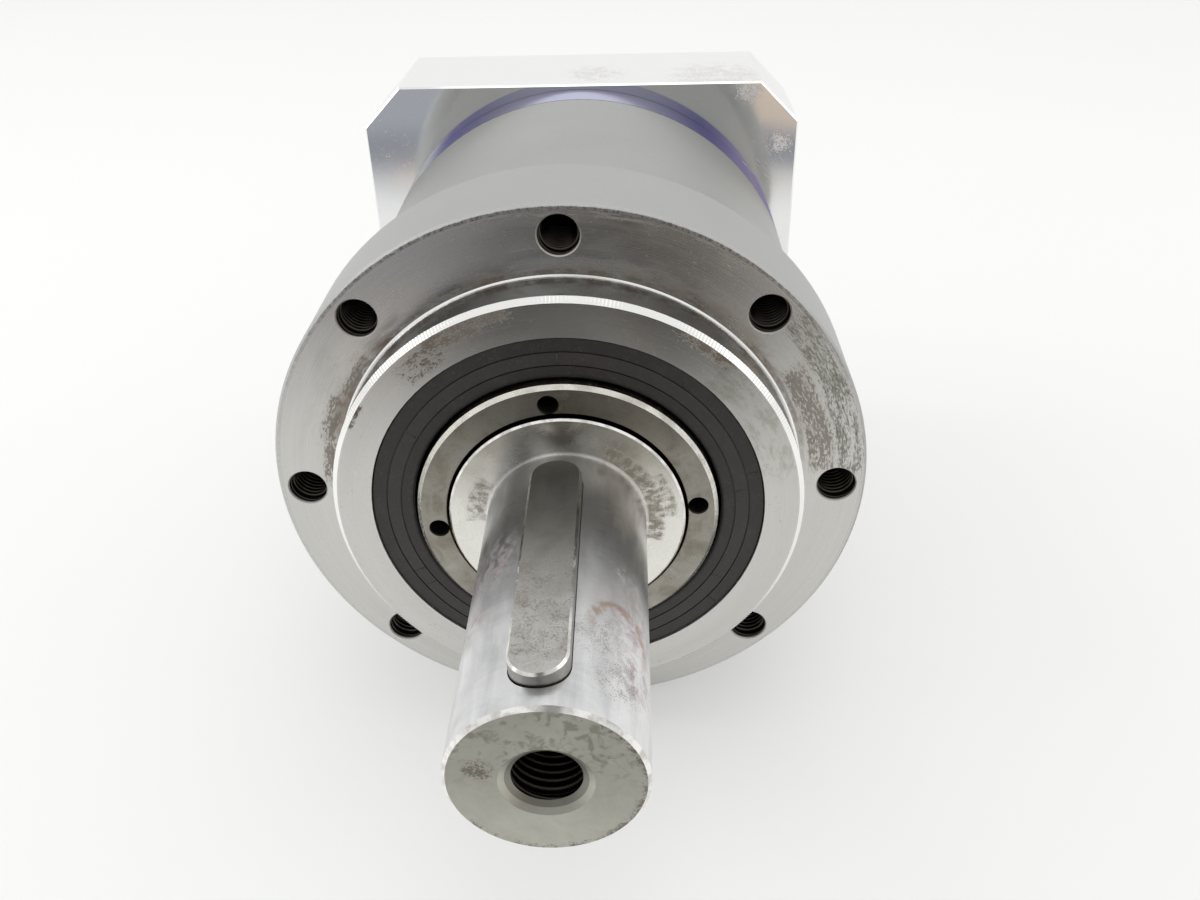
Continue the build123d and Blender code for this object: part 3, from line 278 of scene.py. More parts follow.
def housing_finish():
    """Blasted grey body, turned and stained flange and pilot faces, bright chamfers, holes darkened with
    painted shade.
    """
    m = Finish("blasted_steel_finish", (0.5, 0.5, 0.49), 0.9, 0.4, anisotropy=0.3)
    m.turned_tangent()
    radius = m.radius()
    face = m.step(m.normal_y, -0.90, -0.97)
    slope = m.product(m.step(m.normal_y, -0.25, -0.35), m.step(m.normal_y, -0.97, -0.90))
    front = m.step(m.y, 0.75, 0.55)
    rim = m.product(m.step(radius, FLANGE_R - 0.75, FLANGE_R - 0.65), front)
    bright_slope = m.product(slope, m.math("SUBTRACT", 1.0, rim))
    outside = m.span(radius, PILOT_R - 1.5, PILOT_R + 0.15, 0.05)
    pilot_side = m.product(outside, m.span(m.y, PILOT_FACE, 0.6, 0.05))
    turned = m.highest(m.product(face, front), bright_slope, pilot_side)
    blast = m.noise(0.42, 5.0, 0.7)
    cloud = m.noise(26.0, 3.0, 0.5)
    grey = m.mix(cloud, (0.36, 0.362, 0.355), (0.42, 0.423, 0.415))
    grey = m.mix(m.scaled(m.step(blast, 0.35, 0.75), 0.0, 0.30), grey, (0.58, 0.58, 0.565))
    light_specks = m.speckle(0.5, 0.12)
    grey = m.mix(m.math("MULTIPLY", light_specks, 0.35), grey, (0.72, 0.72, 0.70))
    band = m.product(m.step(radius, BODY_R + 2, BODY_R + 4), m.step(m.y, FLANGE_BACK + 1, FLANGE_BACK))
    grey = m.mix(m.math("MULTIPLY", band, 0.35), grey, (0.50, 0.51, 0.505))
    # Painted highlight: the grey body is painted lighter towards its far left side.
    grey = m.mix(m.math("MULTIPLY", m.step(m.x, -56.0, -76.0), 0.55), grey, (0.64, 0.645, 0.64))
    lines = m.rings(0.35)
    steel = m.mix(lines, (0.44, 0.437, 0.417), (0.67, 0.666, 0.642))
    steel = m.mix(bright_slope, steel, (0.90, 0.90, 0.88))
    colour = m.mix(turned, grey, steel)
    # Brown handling stains on the flange face: soft at the top, streaked along the rim.
    on_flange = m.product(face, m.step(radius, PILOT_R + 0.5, PILOT_R + 0.6), m.step(m.y, -3.0, -1.0), front)
    lay = m.around()
    smoke = m.noise(6.0, 5.0, 0.64, lay, distortion=0.4)
    upper = m.step(m.z, -5.0, 45.0)
    foot_near = m.step(radius, 66.0, 61.0)
    stain = m.product(on_flange, upper, m.step(smoke, 0.40, 0.66), m.scaled(foot_near, 0.10, 0.90))
    colour = m.mix(stain, colour, (0.25, 0.175, 0.115))
    streaks = m.step(m.noise(0.9, 5.0, 0.66, m.around(7.0)), 0.50, 0.66)
    rim_zones = m.highest(m.arc(4, 46, 70.5, 76.2, 2.0), m.arc(20, 110, 75.2, 76.6, 1.0))
    rim_streak = m.product(on_flange, streaks, rim_zones)
    colour = m.mix(m.math("MULTIPLY", rim_streak, 0.45), colour, OLIVE)
    zones = m.highest(m.arc(16, 30, 63.4, 67.6), m.arc(6, 16, 63.6, 68.2), m.arc(143, 152, 60.8, 62.6),
                      m.arc(156, 165, 62.6, 64.8), m.arc(169, 177, 62.2, 63.8))
    rust = m.product(on_flange, m.speckle(0.55, zones, 2.2, lay))
    green = m.product(on_flange, m.speckle(0.42, m.product(m.arc(5, 40, 70.8, 75.0, 2.5), 0.8), 3.0, lay))
    edge_rust = m.product(m.span(radius, PILOT_R + 0.6, PILOT_R + 1.3, 1.0), on_flange, upper,
                          m.step(m.noise(1.6, 5.0, 0.66, lay), 0.42, 0.58))
    # Pitting on the pilot face, along its edge at the upper left and at the right.
    on_pilot = m.product(face, m.step(radius, SEAL_R - 0.3, SEAL_R), m.step(m.y, -10.0, -11.0))
    edges = m.highest(m.arc(103, 112, 56.8, 59.2), m.arc(111, 122, 55.6, 58.6), m.arc(48, 58, 57.2, 59.0),
                      m.arc(147, 153, 58.0, 59.0, 0.8), m.product(m.arc(122, 132, 52.5, 56.5), 0.7))
    pitting = m.product(on_pilot, m.speckle(0.36, edges, 1.8, lay))
    cloudy = m.product(on_pilot, m.arc(14, 47, 51.5, 59.0, 3.0),
                       m.step(m.noise(2.2, 5.0, 0.68, lay), 0.42, 0.66))
    colour = m.mix(m.math("MULTIPLY", cloudy, 0.45), colour, (0.30, 0.30, 0.225))
    spots = m.highest(m.math("MULTIPLY", rust, 0.60), pitting, m.math("MULTIPLY", edge_rust, 0.75))
    colour = m.mix(m.math("MULTIPLY", green, 0.50), colour, OLIVE)
    colour = m.mix(m.math("MULTIPLY", spots, 0.80), colour, RUST)
    colour = m.mix(m.math("MULTIPLY", pitting, 0.6), colour, (0.05, 0.033, 0.022))
    wash = m.product(m.highest(m.product(on_flange, zones), m.product(on_pilot, edges)), 0.18)
    colour = m.mix(wash, colour, (0.25, 0.19, 0.12))
    # Fine light scratches over the front faces.
    slant = m.combine(m.math("ADD", m.x, m.math("MULTIPLY", m.z, 0.7)), m.math("MULTIPLY", m.x, 0.06), 0.0)
    scratch = m.product(m.step(m.noise(1.3, 3.0, 0.6, slant), 0.70, 0.73),
                        m.step(m.noise(7.0, 2.0), 0.52, 0.60), m.highest(on_flange, on_pilot))
    colour = m.mix(m.math("MULTIPLY", scratch, 0.5), colour, (0.93, 0.93, 0.91))
    # The pilot's side is mirror-like, with a painted reflection that darkens it to blue-grey, and a little
    # brown grime above the groove at its foot.
    grime = m.product(pilot_side, m.step(m.y, -2.5, -0.2), m.scaled(m.noise(5.0, place=lay), 0.2, 0.9))
    pilot_side_painted_reflection = m.product(pilot_side, m.step(m.y, -11.0, -10.8), m.step(m.normal_y, -0.35, -0.2))
    colour = m.mix(m.math("MULTIPLY", pilot_side_painted_reflection, 0.6), colour, (0.30, 0.31, 0.335))
    colour = m.mix(m.math("MULTIPLY", grime, 0.22), colour, BROWN)
    foot = m.product(m.span(radius, PILOT_R - 0.2, PILOT_R + 0.19, 0.03), m.step(m.y, 0.0, 0.25))
    colour = m.mix(foot, colour, (0.10, 0.065, 0.04))
    shade = m.product(on_pilot, m.step(m.z, 34.0, 55.0), 0.40)
    colour = m.mix(shade, colour, (0.27, 0.255, 0.225))
    # Dark ragged line just inside the rim of the flange face, darker towards the top.
    rim_line = m.span(radius, FLANGE_R - 1.25, FLANGE_R - 0.6, 0.2)
    ragged = m.product(rim_line, front, m.step(m.noise(1.0, 5.0, 0.7), 0.36, 0.60),
                       m.scaled(m.step(m.z, 30.0, 66.0), 0.12, 0.9))
    colour = m.mix(m.math("MULTIPLY", ragged, 0.8), colour, DARK_LINE_COLOUR)
    # Thin dark seam where the body meets the violet ring.
    seam = m.step(m.y, BODY_END - 0.35, BODY_END - 0.12)
    colour = m.mix(m.math("MULTIPLY", seam, 0.75), colour, DARK_LINE_COLOUR)
    # Painted shade: the walls inside the flange's bolt holes are darkened almost to black.
    hole = m.product(m.step(m.y, 0.4, 1.0), m.step(radius, VIOLET_R + 5.2, VIOLET_R + 5.0),
                     m.step(radius, 64.4, 64.6))
    inside = m.product(hole, m.step(m.y, 23.5, 23.0))
    colour = m.mix(inside, colour, (0.030, 0.024, 0.019))
    mouth = m.product(bright_slope, m.step(radius, 64.2, 64.6), m.step(radius, 76.2, 75.8))
    colour = m.mix(m.math("MULTIPLY", mouth, 0.7), colour, (0.36, 0.34, 0.30))
    m.set(colour=colour)
    rough = m.blend(turned, m.scaled(blast, 0.44, 0.60), m.scaled(lines, 0.15, 0.26))
    rough = m.blend(bright_slope, rough, 0.15)
    rough = m.blend(pilot_side, rough, 0.10)
    dull = m.highest(stain, spots, green, mouth, m.product(grime, 0.4), rim_streak, ragged, foot)
    rough = m.blend(dull, rough, 0.60)
    m.set(roughness=rough)
    metal = m.blend(turned, 0.75, 1.0)
    m.set(metallic=m.blend(m.highest(spots, m.math("MULTIPLY", stain, 0.5), foot), metal, 0.25))
    flat = m.math("SUBTRACT", 1.0, turned)
    m.bump(m.product(blast, flat), 0.045)
    m.bump(m.product(lines, turned), 0.010)
    m.bump(m.math("SUBTRACT", 1.0, spots), 0.02)
    # Fine milled ticks around the pilot's chamfer.
    ticks = m.math("SINE", m.math("MULTIPLY", m.turn(), 420.0))
    m.bump(m.product(ticks, bright_slope, m.step(m.y, -10.0, -10.6)), 0.016)
    return m.material


def shaft_finish():
    """Ground steel with violet and brown storage stains, a darker end face and bright chamfers."""
    m = Finish("ground_steel_finish", (0.5, 0.51, 0.53), 1.0, 0.28, anisotropy=0.3)
    m.turned_tangent()
    radius = m.radius()
    forward = m.step(m.normal_y, -0.9, -0.97)
    end_face = m.product(forward, m.step(m.y, SHAFT_END + 3, SHAFT_END + 1))
    collar = m.product(forward, m.span(m.y, COLLAR_FACE - 1, COLLAR_FACE + 1, 0.2))
    slope = m.product(m.step(m.normal_y, -0.25, -0.35), m.step(m.normal_y, -0.97, -0.90))
    barrel = m.product(m.step(radius, SHAFT_R - 0.3, SHAFT_R - 0.1),
                       m.step(m.y, COLLAR_FACE, COLLAR_FACE - 0.5))
    grind = m.noise(0.22, 3.0, 0.6, m.combine(m.y, m.math("MULTIPLY", m.turn(), 0.35), 0.0))
    along = m.combine(m.math("MULTIPLY", m.turn(), 20.0), m.math("MULTIPLY", m.y, 0.22), 0.0)
    drift = m.noise(5.0, 5.0, 0.62, along, distortion=0.4)
    cloud = m.noise(14.0, 4.0, 0.6, distortion=0.8)
    colour = m.mix(grind, (0.64, 0.645, 0.65), (0.78, 0.785, 0.79))
    colour = m.mix(m.math("MULTIPLY", m.step(cloud, 0.42, 0.72), 0.42), colour, (0.40, 0.415, 0.44))
    # Painted shade and highlight: the shaft is painted darker blue-grey on its left towards the collar, and
    # lighter on its right side.
    behind = m.product(m.step(m.y, -48.0, -24.0), m.step(m.x, 8.0, -4.0), 0.36)
    colour = m.mix(m.math("MULTIPLY", m.step(m.x, 5.0, 14.0), 0.55), colour, (0.92, 0.925, 0.93))
    colour = m.mix(behind, colour, (0.36, 0.385, 0.42))
    colour = m.mix(m.math("MULTIPLY", m.step(drift, 0.44, 0.70), 0.40), colour, (0.42, 0.42, 0.42))
    colour = m.mix(m.math("MULTIPLY", m.step(drift, 0.46, 0.30), 0.35), colour, (0.90, 0.905, 0.91))
    # Violet and brown bloom on the right and on the left of the key.
    bloom = m.highest(m.near((17, -66, 11), 2, 12), m.near((17, -80, 10), 1, 9),
                      m.near((-14, -50, 14), 2, 10), m.near((-16, -66, 11), 0, 9))
    bloom = m.product(barrel, bloom, m.step(m.noise(2.6, 6.0, 0.7, distortion=0.4), 0.40, 0.64))
    colour = m.mix(m.math("MULTIPLY", bloom, 0.72), colour, (0.33, 0.22, 0.25))
    ring = m.vector("DISTANCE", m.place, (14.5, -73, 13.8))
    halo = m.product(barrel, m.span(ring, 7.6, 8.8, 1.2), m.step(m.noise(3.0, 4.0), 0.36, 0.54),
                     m.step(m.x, 6.8, 8.6), m.step(m.y, -77.0, -69.0))
    colour = m.mix(m.math("MULTIPLY", halo, 0.75), colour, (0.46, 0.32, 0.25))
    zones = m.highest(m.near((9.5, -75, 17.6), 3, 8), m.near((14, -84, 14.2), 3, 9),
                      m.near((16, -55, 12), 1, 9), m.near((-13, -56, 15), 1, 8))
    freckles = m.product(barrel, m.speckle(0.32, m.math("MULTIPLY", zones, 0.62), 2.4))
    # Worn brown rust in patches on the collar's face.
    corrosion = m.highest(m.arc(-14, 62, 20.6, 23.8), m.product(m.arc(4, 30, 25.0, 27.0), 0.7),
                          m.product(m.arc(150, 184, 21.6, 24.0, 3.0), 0.75))
    patches = m.product(collar, m.speckle(0.30, corrosion, 2.4, m.around(1.6)))
    turned = m.mix(m.rings(0.3), (0.68, 0.67, 0.63), (0.90, 0.89, 0.84))
    colour = m.mix(collar, colour, turned)
    brown = m.product(collar, m.scaled(m.noise(7.0, 4.0), 0.3, 1.2), m.step(m.z, 2.0, 22.0), 0.75)
    colour = m.mix(brown, colour, (0.27, 0.235, 0.18))
    colour = m.mix(m.math("MULTIPLY", patches, 0.75), colour, (0.19, 0.155, 0.10))
    tarnish = m.noise(6.0, 6.0, 0.66, distortion=0.7)
    blot = m.noise(3.0, 5.0, 0.6, distortion=1.0)
    end_colour = m.mix(tarnish, (0.41, 0.407, 0.355), (0.66, 0.66, 0.595))
    end_colour = m.mix(m.product(m.step(blot, 0.50, 0.64), m.step(m.z, -4.0, 8.0), 0.45), end_colour,
                       (0.17, 0.145, 0.10))
    end_rim = m.product(m.step(radius, 17.0, 19.0),
                        m.highest(m.step(m.x, 6.0, 14.0), m.step(m.z, -8.0, -15.0)))
    end_zones = m.highest(m.math("MULTIPLY", end_rim, 0.8), m.near((-13, SHAFT_END, 3.5), 1, 3.5))
    end_rust = m.product(end_face, m.speckle(0.45, end_zones, 3.0))
    end_colour = m.mix(m.math("MULTIPLY", end_rust, 0.7), end_colour, (0.13, 0.085, 0.06))
    mouth = m.product(m.step(radius, 9.6, 9.3), m.step(m.y, SHAFT_END + 2.4, SHAFT_END + 2.0))
    colour = m.mix(m.highest(end_face, mouth), colour, end_colour)
    worn_edge = m.step(m.noise(3.0, 4.0), 0.35, 0.6)
    edge = m.product(slope, m.math("SUBTRACT", 1.0, mouth))
    colour = m.mix(edge, colour, m.mix(worn_edge, (0.62, 0.60, 0.57), (0.92, 0.91, 0.89)))
    gap = m.product(m.step(radius, 28.6, 28.9), m.step(m.y, COLLAR_FACE + 0.45, COLLAR_FACE + 0.7))
    colour = m.mix(gap, colour, (0.055, 0.035, 0.02))
    # The root of the shaft keeps a thin bright corner.
    root = m.product(m.step(m.y, COLLAR_FACE - 0.7, COLLAR_FACE - 0.2),
                     m.step(radius, SHAFT_R + 0.9, SHAFT_R + 0.3))
    colour = m.mix(m.math("MULTIPLY", root, 0.8), colour, (0.95, 0.93, 0.90))
    # Painted shade: the key slot's walls and the centre bore are darkened almost to black.
    slot_wall_painted_shade = m.product(m.step(radius, SHAFT_R - 0.35, SHAFT_R - 0.6), m.step(m.z, 14.5, 15.2),
                          m.step(m.y, SHAFT_END + 2.5, SHAFT_END + 3.0))
    bore_painted_shade = m.product(m.step(radius, CENTRE_THREAD_R + 0.2, CENTRE_THREAD_R),
                     m.step(m.y, SHAFT_END + 0.9, SHAFT_END + 1.1))
    colour = m.mix(m.highest(bore_painted_shade, slot_wall_painted_shade), colour, (0.035, 0.030, 0.026))
    colour = m.mix(m.math("MULTIPLY", freckles, 0.62), colour, (0.16, 0.145, 0.135))
    m.set(colour=colour)
    worn = m.highest(patches, freckles, m.math("MULTIPLY", bloom, 0.5), m.math("MULTIPLY", end_rust, 0.7))
    rough = m.scaled(grind, 0.25, 0.32)
    rough = m.blend(m.highest(end_face, mouth), rough, m.scaled(tarnish, 0.36, 0.52))
    rough = m.blend(edge, rough, 0.16)
    rough = m.blend(collar, rough, m.scaled(tarnish, 0.20, 0.34))
    rough = m.blend(m.highest(bore_painted_shade, slot_wall_painted_shade), rough, 0.6)
    m.set(roughness=m.blend(worn, rough, 0.62), metallic=m.blend(m.highest(worn, bore_painted_shade, slot_wall_painted_shade), 1.0, 0.35))
    m.bump(m.product(grind, barrel), 0.0015)
    m.bump(m.math("SUBTRACT", 1.0, m.highest(patches, end_rust)), 0.012)
    m.bump(m.product(m.rings(0.3), m.highest(collar, end_face)), 0.008)
    return m.material


def key_finish():
    """Drawn key steel: brownish top, bright worn edges, fine lengthwise lines, painted shade on its sides and
    towards its rear.
    """
    m = Finish("key_steel_finish", (0.45, 0.44, 0.42), 1.0, 0.22)
    drawn = m.noise(0.25, 3.0, 0.6, m.combine(m.x, m.math("MULTIPLY", m.y, 0.03), m.z))
    cloud = m.noise(7.0, 5.0, 0.64, distortion=0.6)
    colour = m.mix(drawn, (0.43, 0.425, 0.405), (0.58, 0.575, 0.55))
    colour = m.mix(m.math("MULTIPLY", m.step(cloud, 0.40, 0.68), 0.55), colour, (0.34, 0.325, 0.30))
    # Painted shade: the key is darker towards its rear end.
    rear_painted_shade = m.product(m.step(m.y, key_high.y - 60, key_high.y - 16), 0.66)
    colour = m.mix(rear_painted_shade, colour, (0.19, 0.18, 0.155))
    zone = m.span(m.y, key_low.y + 8, key_low.y + 30, 12)
    specks = m.speckle(0.5, m.math("MULTIPLY", zone, 0.6), 3.0)
    colour = m.mix(m.math("MULTIPLY", specks, 0.7), colour, (0.15, 0.12, 0.10))
    edge = m.product(m.step(m.normal_z, 0.25, 0.45), m.step(m.normal_z, 0.97, 0.90))
    worn = m.step(m.noise(4.0, 4.0), 0.32, 0.62)
    colour = m.mix(m.product(edge, m.scaled(worn, 0.35, 1.0)), colour, (0.84, 0.83, 0.81))
    # Painted shade: the key's upright faces are darkened.
    side = m.step(m.normal_z, 0.4, 0.2)
    colour = m.mix(m.math("MULTIPLY", side, 0.4), colour, (0.20, 0.19, 0.175))
    m.set(colour=colour, roughness=m.blend(edge, m.scaled(drawn, 0.30, 0.40), 0.2))
    m.set(metallic=m.blend(specks, 1.0, 0.4))
    m.bump(drawn, 0.003)
    return m.material


def turned_finish():
    """Turned steel with brown tarnish and bright chamfers, for the lock nut, washers, collar and plates."""
    m = Finish("turned_steel_finish", (0.32, 0.31, 0.28), 1.0, 0.3, anisotropy=0.3)
    m.turned_tangent()
    lines = m.rings(0.3)
    tilt = m.math("ABSOLUTE", m.normal_y)
    slope = m.product(m.step(tilt, 0.25, 0.35), m.step(tilt, 0.97, 0.9))
    cloud = m.noise(7.0, 5.0, 0.62, distortion=0.5)
    colour = m.mix(lines, (0.25, 0.238, 0.205), (0.385, 0.372, 0.33))
    colour = m.mix(m.math("MULTIPLY", m.step(cloud, 0.44, 0.70), 0.5), colour, (0.17, 0.14, 0.10))
    light = m.math("MULTIPLY", m.step(cloud, 0.44, 0.28), 0.4)
    colour = m.mix(light, colour, (0.48, 0.47, 0.43))
    specks = m.speckle(0.45, 0.30, 4.0)
    colour = m.mix(m.math("MULTIPLY", specks, 0.5), colour, (0.13, 0.095, 0.06))
    front = m.step(m.y, 5.0, 0.0)
    inner = m.product(m.step(m.radius(), 31.0, 30.5), front)
    colour = m.mix(m.product(inner, 0.85), colour, (0.09, 0.045, 0.022))
    worn = m.step(m.noise(5.0, 4.0), 0.30, 0.60)
    bright = m.product(slope, m.math("SUBTRACT", 1.0, inner), m.scaled(worn, 0.45, 1.0))
    colour = m.mix(bright, colour, (0.74, 0.72, 0.66))
    # Painted shade: recesses lying behind the nut's face, inside its rim, are darkened almost to black.
    recess_painted_shade = m.product(m.step(m.y, NUT_FACE + 0.3, NUT_FACE + 0.8),
                     m.step(m.radius(), NUT_R - 0.9, NUT_R - 1.3), front)
    shade = m.product(m.step(m.z, 14.0, 32.0), m.step(m.normal_y, -0.90, -0.97), front, 0.55)
    colour = m.mix(shade, colour, (0.10, 0.09, 0.07))
    colour = m.mix(recess_painted_shade, colour, (0.012, 0.010, 0.009))
    rough = m.blend(slope, m.scaled(lines, 0.24, 0.38), 0.20)
    m.set(colour=colour, roughness=m.blend(m.highest(specks, recess_painted_shade), rough, 0.6))
    m.set(metallic=m.blend(m.highest(recess_painted_shade, m.math("MULTIPLY", specks, 0.6)), 1.0, 0.2))
    m.bump(lines, 0.01)
    m.bump(m.math("SUBTRACT", 1.0, specks), 0.02)
    return m.material


def seal_finish():
    """Dark moulded rubber: charcoal brown, faint concentric mould lines and dust."""
    m = Finish("seal_rubber_finish", (0.04, 0.035, 0.032), 0.0, 0.5)
    radius = m.radius()
    band = m.span(radius, 42.6, 46.0, 0.3)
    colour = m.mix(band, (0.024, 0.020, 0.018), (0.033, 0.028, 0.026))
    rim = m.highest(m.step(radius, SEAL_R - 0.55, SEAL_R - 0.2), m.step(radius, 40.3, 39.8))
    colour = m.mix(rim, colour, (0.008, 0.008, 0.008))
    dust = m.noise(5.0, 4.0, 0.6)
    colour = m.mix(m.math("MULTIPLY", m.step(dust, 0.48, 0.8), 0.16), colour, (0.10, 0.088, 0.08))
    flecks = m.speckle(0.45, 0.22, 6.0)
    colour = m.mix(m.math("MULTIPLY", flecks, 0.35), colour, (0.22, 0.20, 0.17))
    m.set(colour=colour, roughness=m.scaled(m.noise(1.5, 3.0), 0.34, 0.52))
    m.bump(m.rings(0.5), 0.02)
    m.bump(m.noise(0.4, 3.0), 0.01)
    return m.material


def violet_finish():
    """Violet anodised aluminium with fine turning lines, a dark seam at each end, and painted highlights at
    its top and upper left.
    """
    m = Finish("violet_anodised_finish", (0.10, 0.07, 0.42), 0.85, 0.30, anisotropy=0.3)
    m.turned_tangent()
    lines = m.rings(0.25)
    colour = m.mix(lines, (0.115, 0.105, 0.46), (0.19, 0.175, 0.60))
    # Painted highlights: the top of the ring is painted pale lilac, and its upper left almost white as
    # painted glare.
    top_painted_highlight = m.step(m.z, VIOLET_R * 0.78, VIOLET_R * 0.99)
    colour = m.mix(m.math("MULTIPLY", top_painted_highlight, 0.85), colour, (0.52, 0.54, 0.68))
    glare = m.product(m.step(m.x, -42.0, -54.0), m.step(m.z, 60.0, 48.0), 0.95)
    colour = m.mix(glare, colour, (0.95, 0.96, 0.99))
    ends = m.highest(m.step(m.y, BODY_END + 0.5, BODY_END + 0.15),
                     m.step(m.y, PLATE_FRONT - 0.4, PLATE_FRONT - 0.15))
    colour = m.mix(m.math("MULTIPLY", ends, 0.8), colour, (0.02, 0.015, 0.07))
    m.set(colour=colour, roughness=m.scaled(lines, 0.24, 0.36))
    m.bump(lines, 0.008)
    return m.material


def plate_finish():
    """Mirror-bright aluminium with handling scratches near the corners and faint haze."""
    m = Finish("polished_aluminium_finish", (0.86, 0.865, 0.87), 1.0, 0.07)
    haze = m.noise(18.0, 4.0, 0.6, distortion=0.4)
    lapped = m.combine(m.x, m.math("MULTIPLY", m.z, 0.04), m.math("MULTIPLY", m.y, 0.04))
    lap = m.noise(0.35, 2.0, 0.5, lapped)
    slant = m.combine(m.math("ADD", m.x, m.math("MULTIPLY", m.z, 0.9)), m.math("MULTIPLY", m.z, 0.04), 0.0)
    streak = m.step(m.noise(0.5, 3.0, 0.65, slant), 0.60, 0.66)
    scratch = m.product(streak, m.near((60, PLATE_FRONT, 45), 2, 8), m.step(m.noise(2.5, 3.0), 0.40, 0.55))
    dotted = m.highest(m.near((55, PLATE_FRONT, 69), 1, 5), m.near((66, PLATE_FRONT, 52), 0, 6))
    dots = m.speckle(0.6, dotted, 1.6)
    marks = m.highest(scratch, dots)
    inside = m.product(m.step(m.radius(), 56.0, 54.0), m.step(m.y, PLATE_FRONT + 0.5, PLATE_FRONT + 1.5))
    sky = m.product(m.step(m.normal_z, 0.90, 0.97), m.step(m.y, PLATE_FRONT + 0.3, PLATE_FRONT + 0.6))
    brushed = m.noise(0.5, 4.0, 0.6, m.combine(m.math("MULTIPLY", m.x, 0.05), m.y, m.z))
    wear = m.highest(m.near((45, 132, PLATE_HALF), 6, 22), m.near((5, 138, PLATE_HALF), 2, 16), 0.12)
    scuffs = m.product(sky, m.speckle(0.9, wear, 4.0))
    colour = m.mix(haze, (0.80, 0.81, 0.82), (0.90, 0.90, 0.90))
    colour = m.mix(marks, colour, (0.97, 0.97, 0.97))
    colour = m.mix(inside, colour, m.mix(m.rings(0.4), (0.70, 0.70, 0.70), (0.86, 0.86, 0.86)))
    colour = m.mix(sky, colour, m.mix(brushed, (0.90, 0.905, 0.91), (0.97, 0.97, 0.97)))
    colour = m.mix(m.math("MULTIPLY", scuffs, 0.35), colour, (0.55, 0.51, 0.46))
    rough = m.blend(marks, m.scaled(haze, 0.045, 0.12), 0.45)
    rough = m.blend(inside, rough, 0.28)
    rough = m.blend(sky, rough, m.scaled(brushed, 0.22, 0.40))
    m.set(colour=colour, roughness=rough)
    m.bump(lap, 0.0012)
    m.bump(marks, 0.012)
    return m.material


def plain_metal(name, low, high, rough_low, rough_high, size, metallic=1.0):
    """Metal with fine grain and cloudy tone, for screws and inside pieces."""
    m = Finish(name, high, metallic, rough_high)
    grain = m.noise(size, 4.0, 0.6)
    cloud = m.noise(size * 12, 3.0, 0.5)
    colour = m.mix(m.math("MULTIPLY", m.math("ADD", grain, cloud), 0.5), low, high)
    m.set(colour=colour, roughness=m.scaled(grain, rough_low, rough_high))
    m.bump(grain, 0.006)
    return m.material


def moulded(name, low, high, rough_low, rough_high):
    """Moulded plastic or rubber with a faint grain."""
    m = Finish(name, high, 0.0, rough_high)
    grain = m.noise(0.5, 4.0, 0.6)
    m.set(colour=m.mix(m.noise(5.0, 3.0), low, high), roughness=m.scaled(grain, rough_low, rough_high))
    m.bump(grain, 0.02)
    return m.material


finishes = {
    "blasted_steel": housing_finish(),
    "ground_steel": shaft_finish(),
    "turned_steel": turned_finish(),
    "polished_aluminium": plate_finish(),
    "violet_aluminium": violet_finish(),
    "seal_rubber": seal_finish(),
    "bearing_steel": plain_metal("bearing_steel_finish", (0.60, 0.61, 0.62), (0.74, 0.75, 0.76),
                                 0.10, 0.18, 0.6),
    "gear_steel": plain_metal("gear_steel_finish", (0.40, 0.41, 0.43), (0.55, 0.56, 0.58), 0.24, 0.36, 0.5),
    "cage_steel": plain_metal("cage_steel_finish", (0.33, 0.33, 0.34), (0.46, 0.46, 0.47), 0.35, 0.5, 0.6),
    "cage_polymer": moulded("cage_polymer_finish", (0.14, 0.12, 0.08), (0.18, 0.16, 0.12), 0.45, 0.6),
    "black_steel": plain_metal("black_steel_finish", (0.018, 0.018, 0.020), (0.05, 0.05, 0.055),
                               0.35, 0.5, 0.4, 0.6),
    "plug_plastic": moulded("plug_plastic_finish", (0.014, 0.014, 0.015), (0.025, 0.025, 0.026), 0.4, 0.55),
}
own_finishes = {"parallel_key": key_finish()}


def dress_nodes():
    """Give every CAD node its finish, by the record's material slots."""
    slots = {entry["node"]: entry["material_slot"] for entry in frame["record"]["subparts"]}
    for name, node in frame["nodes"].items():
        node.data.materials.clear()
        node.data.materials.append(own_finishes.get(name, finishes[slots[name]]))


def new_piece(name, mesh, body, material):
    """Turn a bmesh in metres, in the row frame, into a piece that rides on a body."""
    data = bpy.data.meshes.new(name)
    mesh.to_mesh(data)
    mesh.free()
    for polygon in data.polygons:
        polygon.use_smooth = True
    data.materials.append(material)
    piece = bpy.data.objects.new(name, data)
    bpy.context.scene.collection.objects.link(piece)
    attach(piece, body)
    return piece


def cut_thread(mesh, centre, mouth, sense, major, minor, pitch, length, lead=0.0, segments=28):
    """Add one internal thread's helical ridge. It starts at a mouth on Y and runs along Y by sense.

    Its crest rises along a countersink with the given lead, a slope of depth for each unit of radius.
    """
    crest = pitch * 0.11
    root = pitch * 0.44
    turns = length / pitch
    steps = int(turns * segments)
    previous = None
    for step in range(steps + 1):
        turn = step / segments
        angle = -sense * turn * 2 * pi
        rise = turn * pitch / (lead * (major - minor)) if lead else turn
        fade = min(1.0, rise, turns - turn)
        depth = major + 0.02 - (major - minor) * max(fade, 0.02)
        y = mouth + sense * turn * pitch
        corners = ((major + 0.02, y - root), (depth, y - crest), (depth, y + crest), (major + 0.02, y + root))
        ring = [mesh.verts.new(Vector((centre[0] + r * cos(angle), along, centre[1] + r * sin(angle))) * MM)
                for r, along in corners]
        if previous:
            for k in range(4):
                mesh.faces.new((previous[k], previous[(k + 1) % 4], ring[(k + 1) % 4], ring[k]))
        else:
            first = ring
        previous = ring
    mesh.faces.new(first)
    mesh.faces.new(list(reversed(previous)))


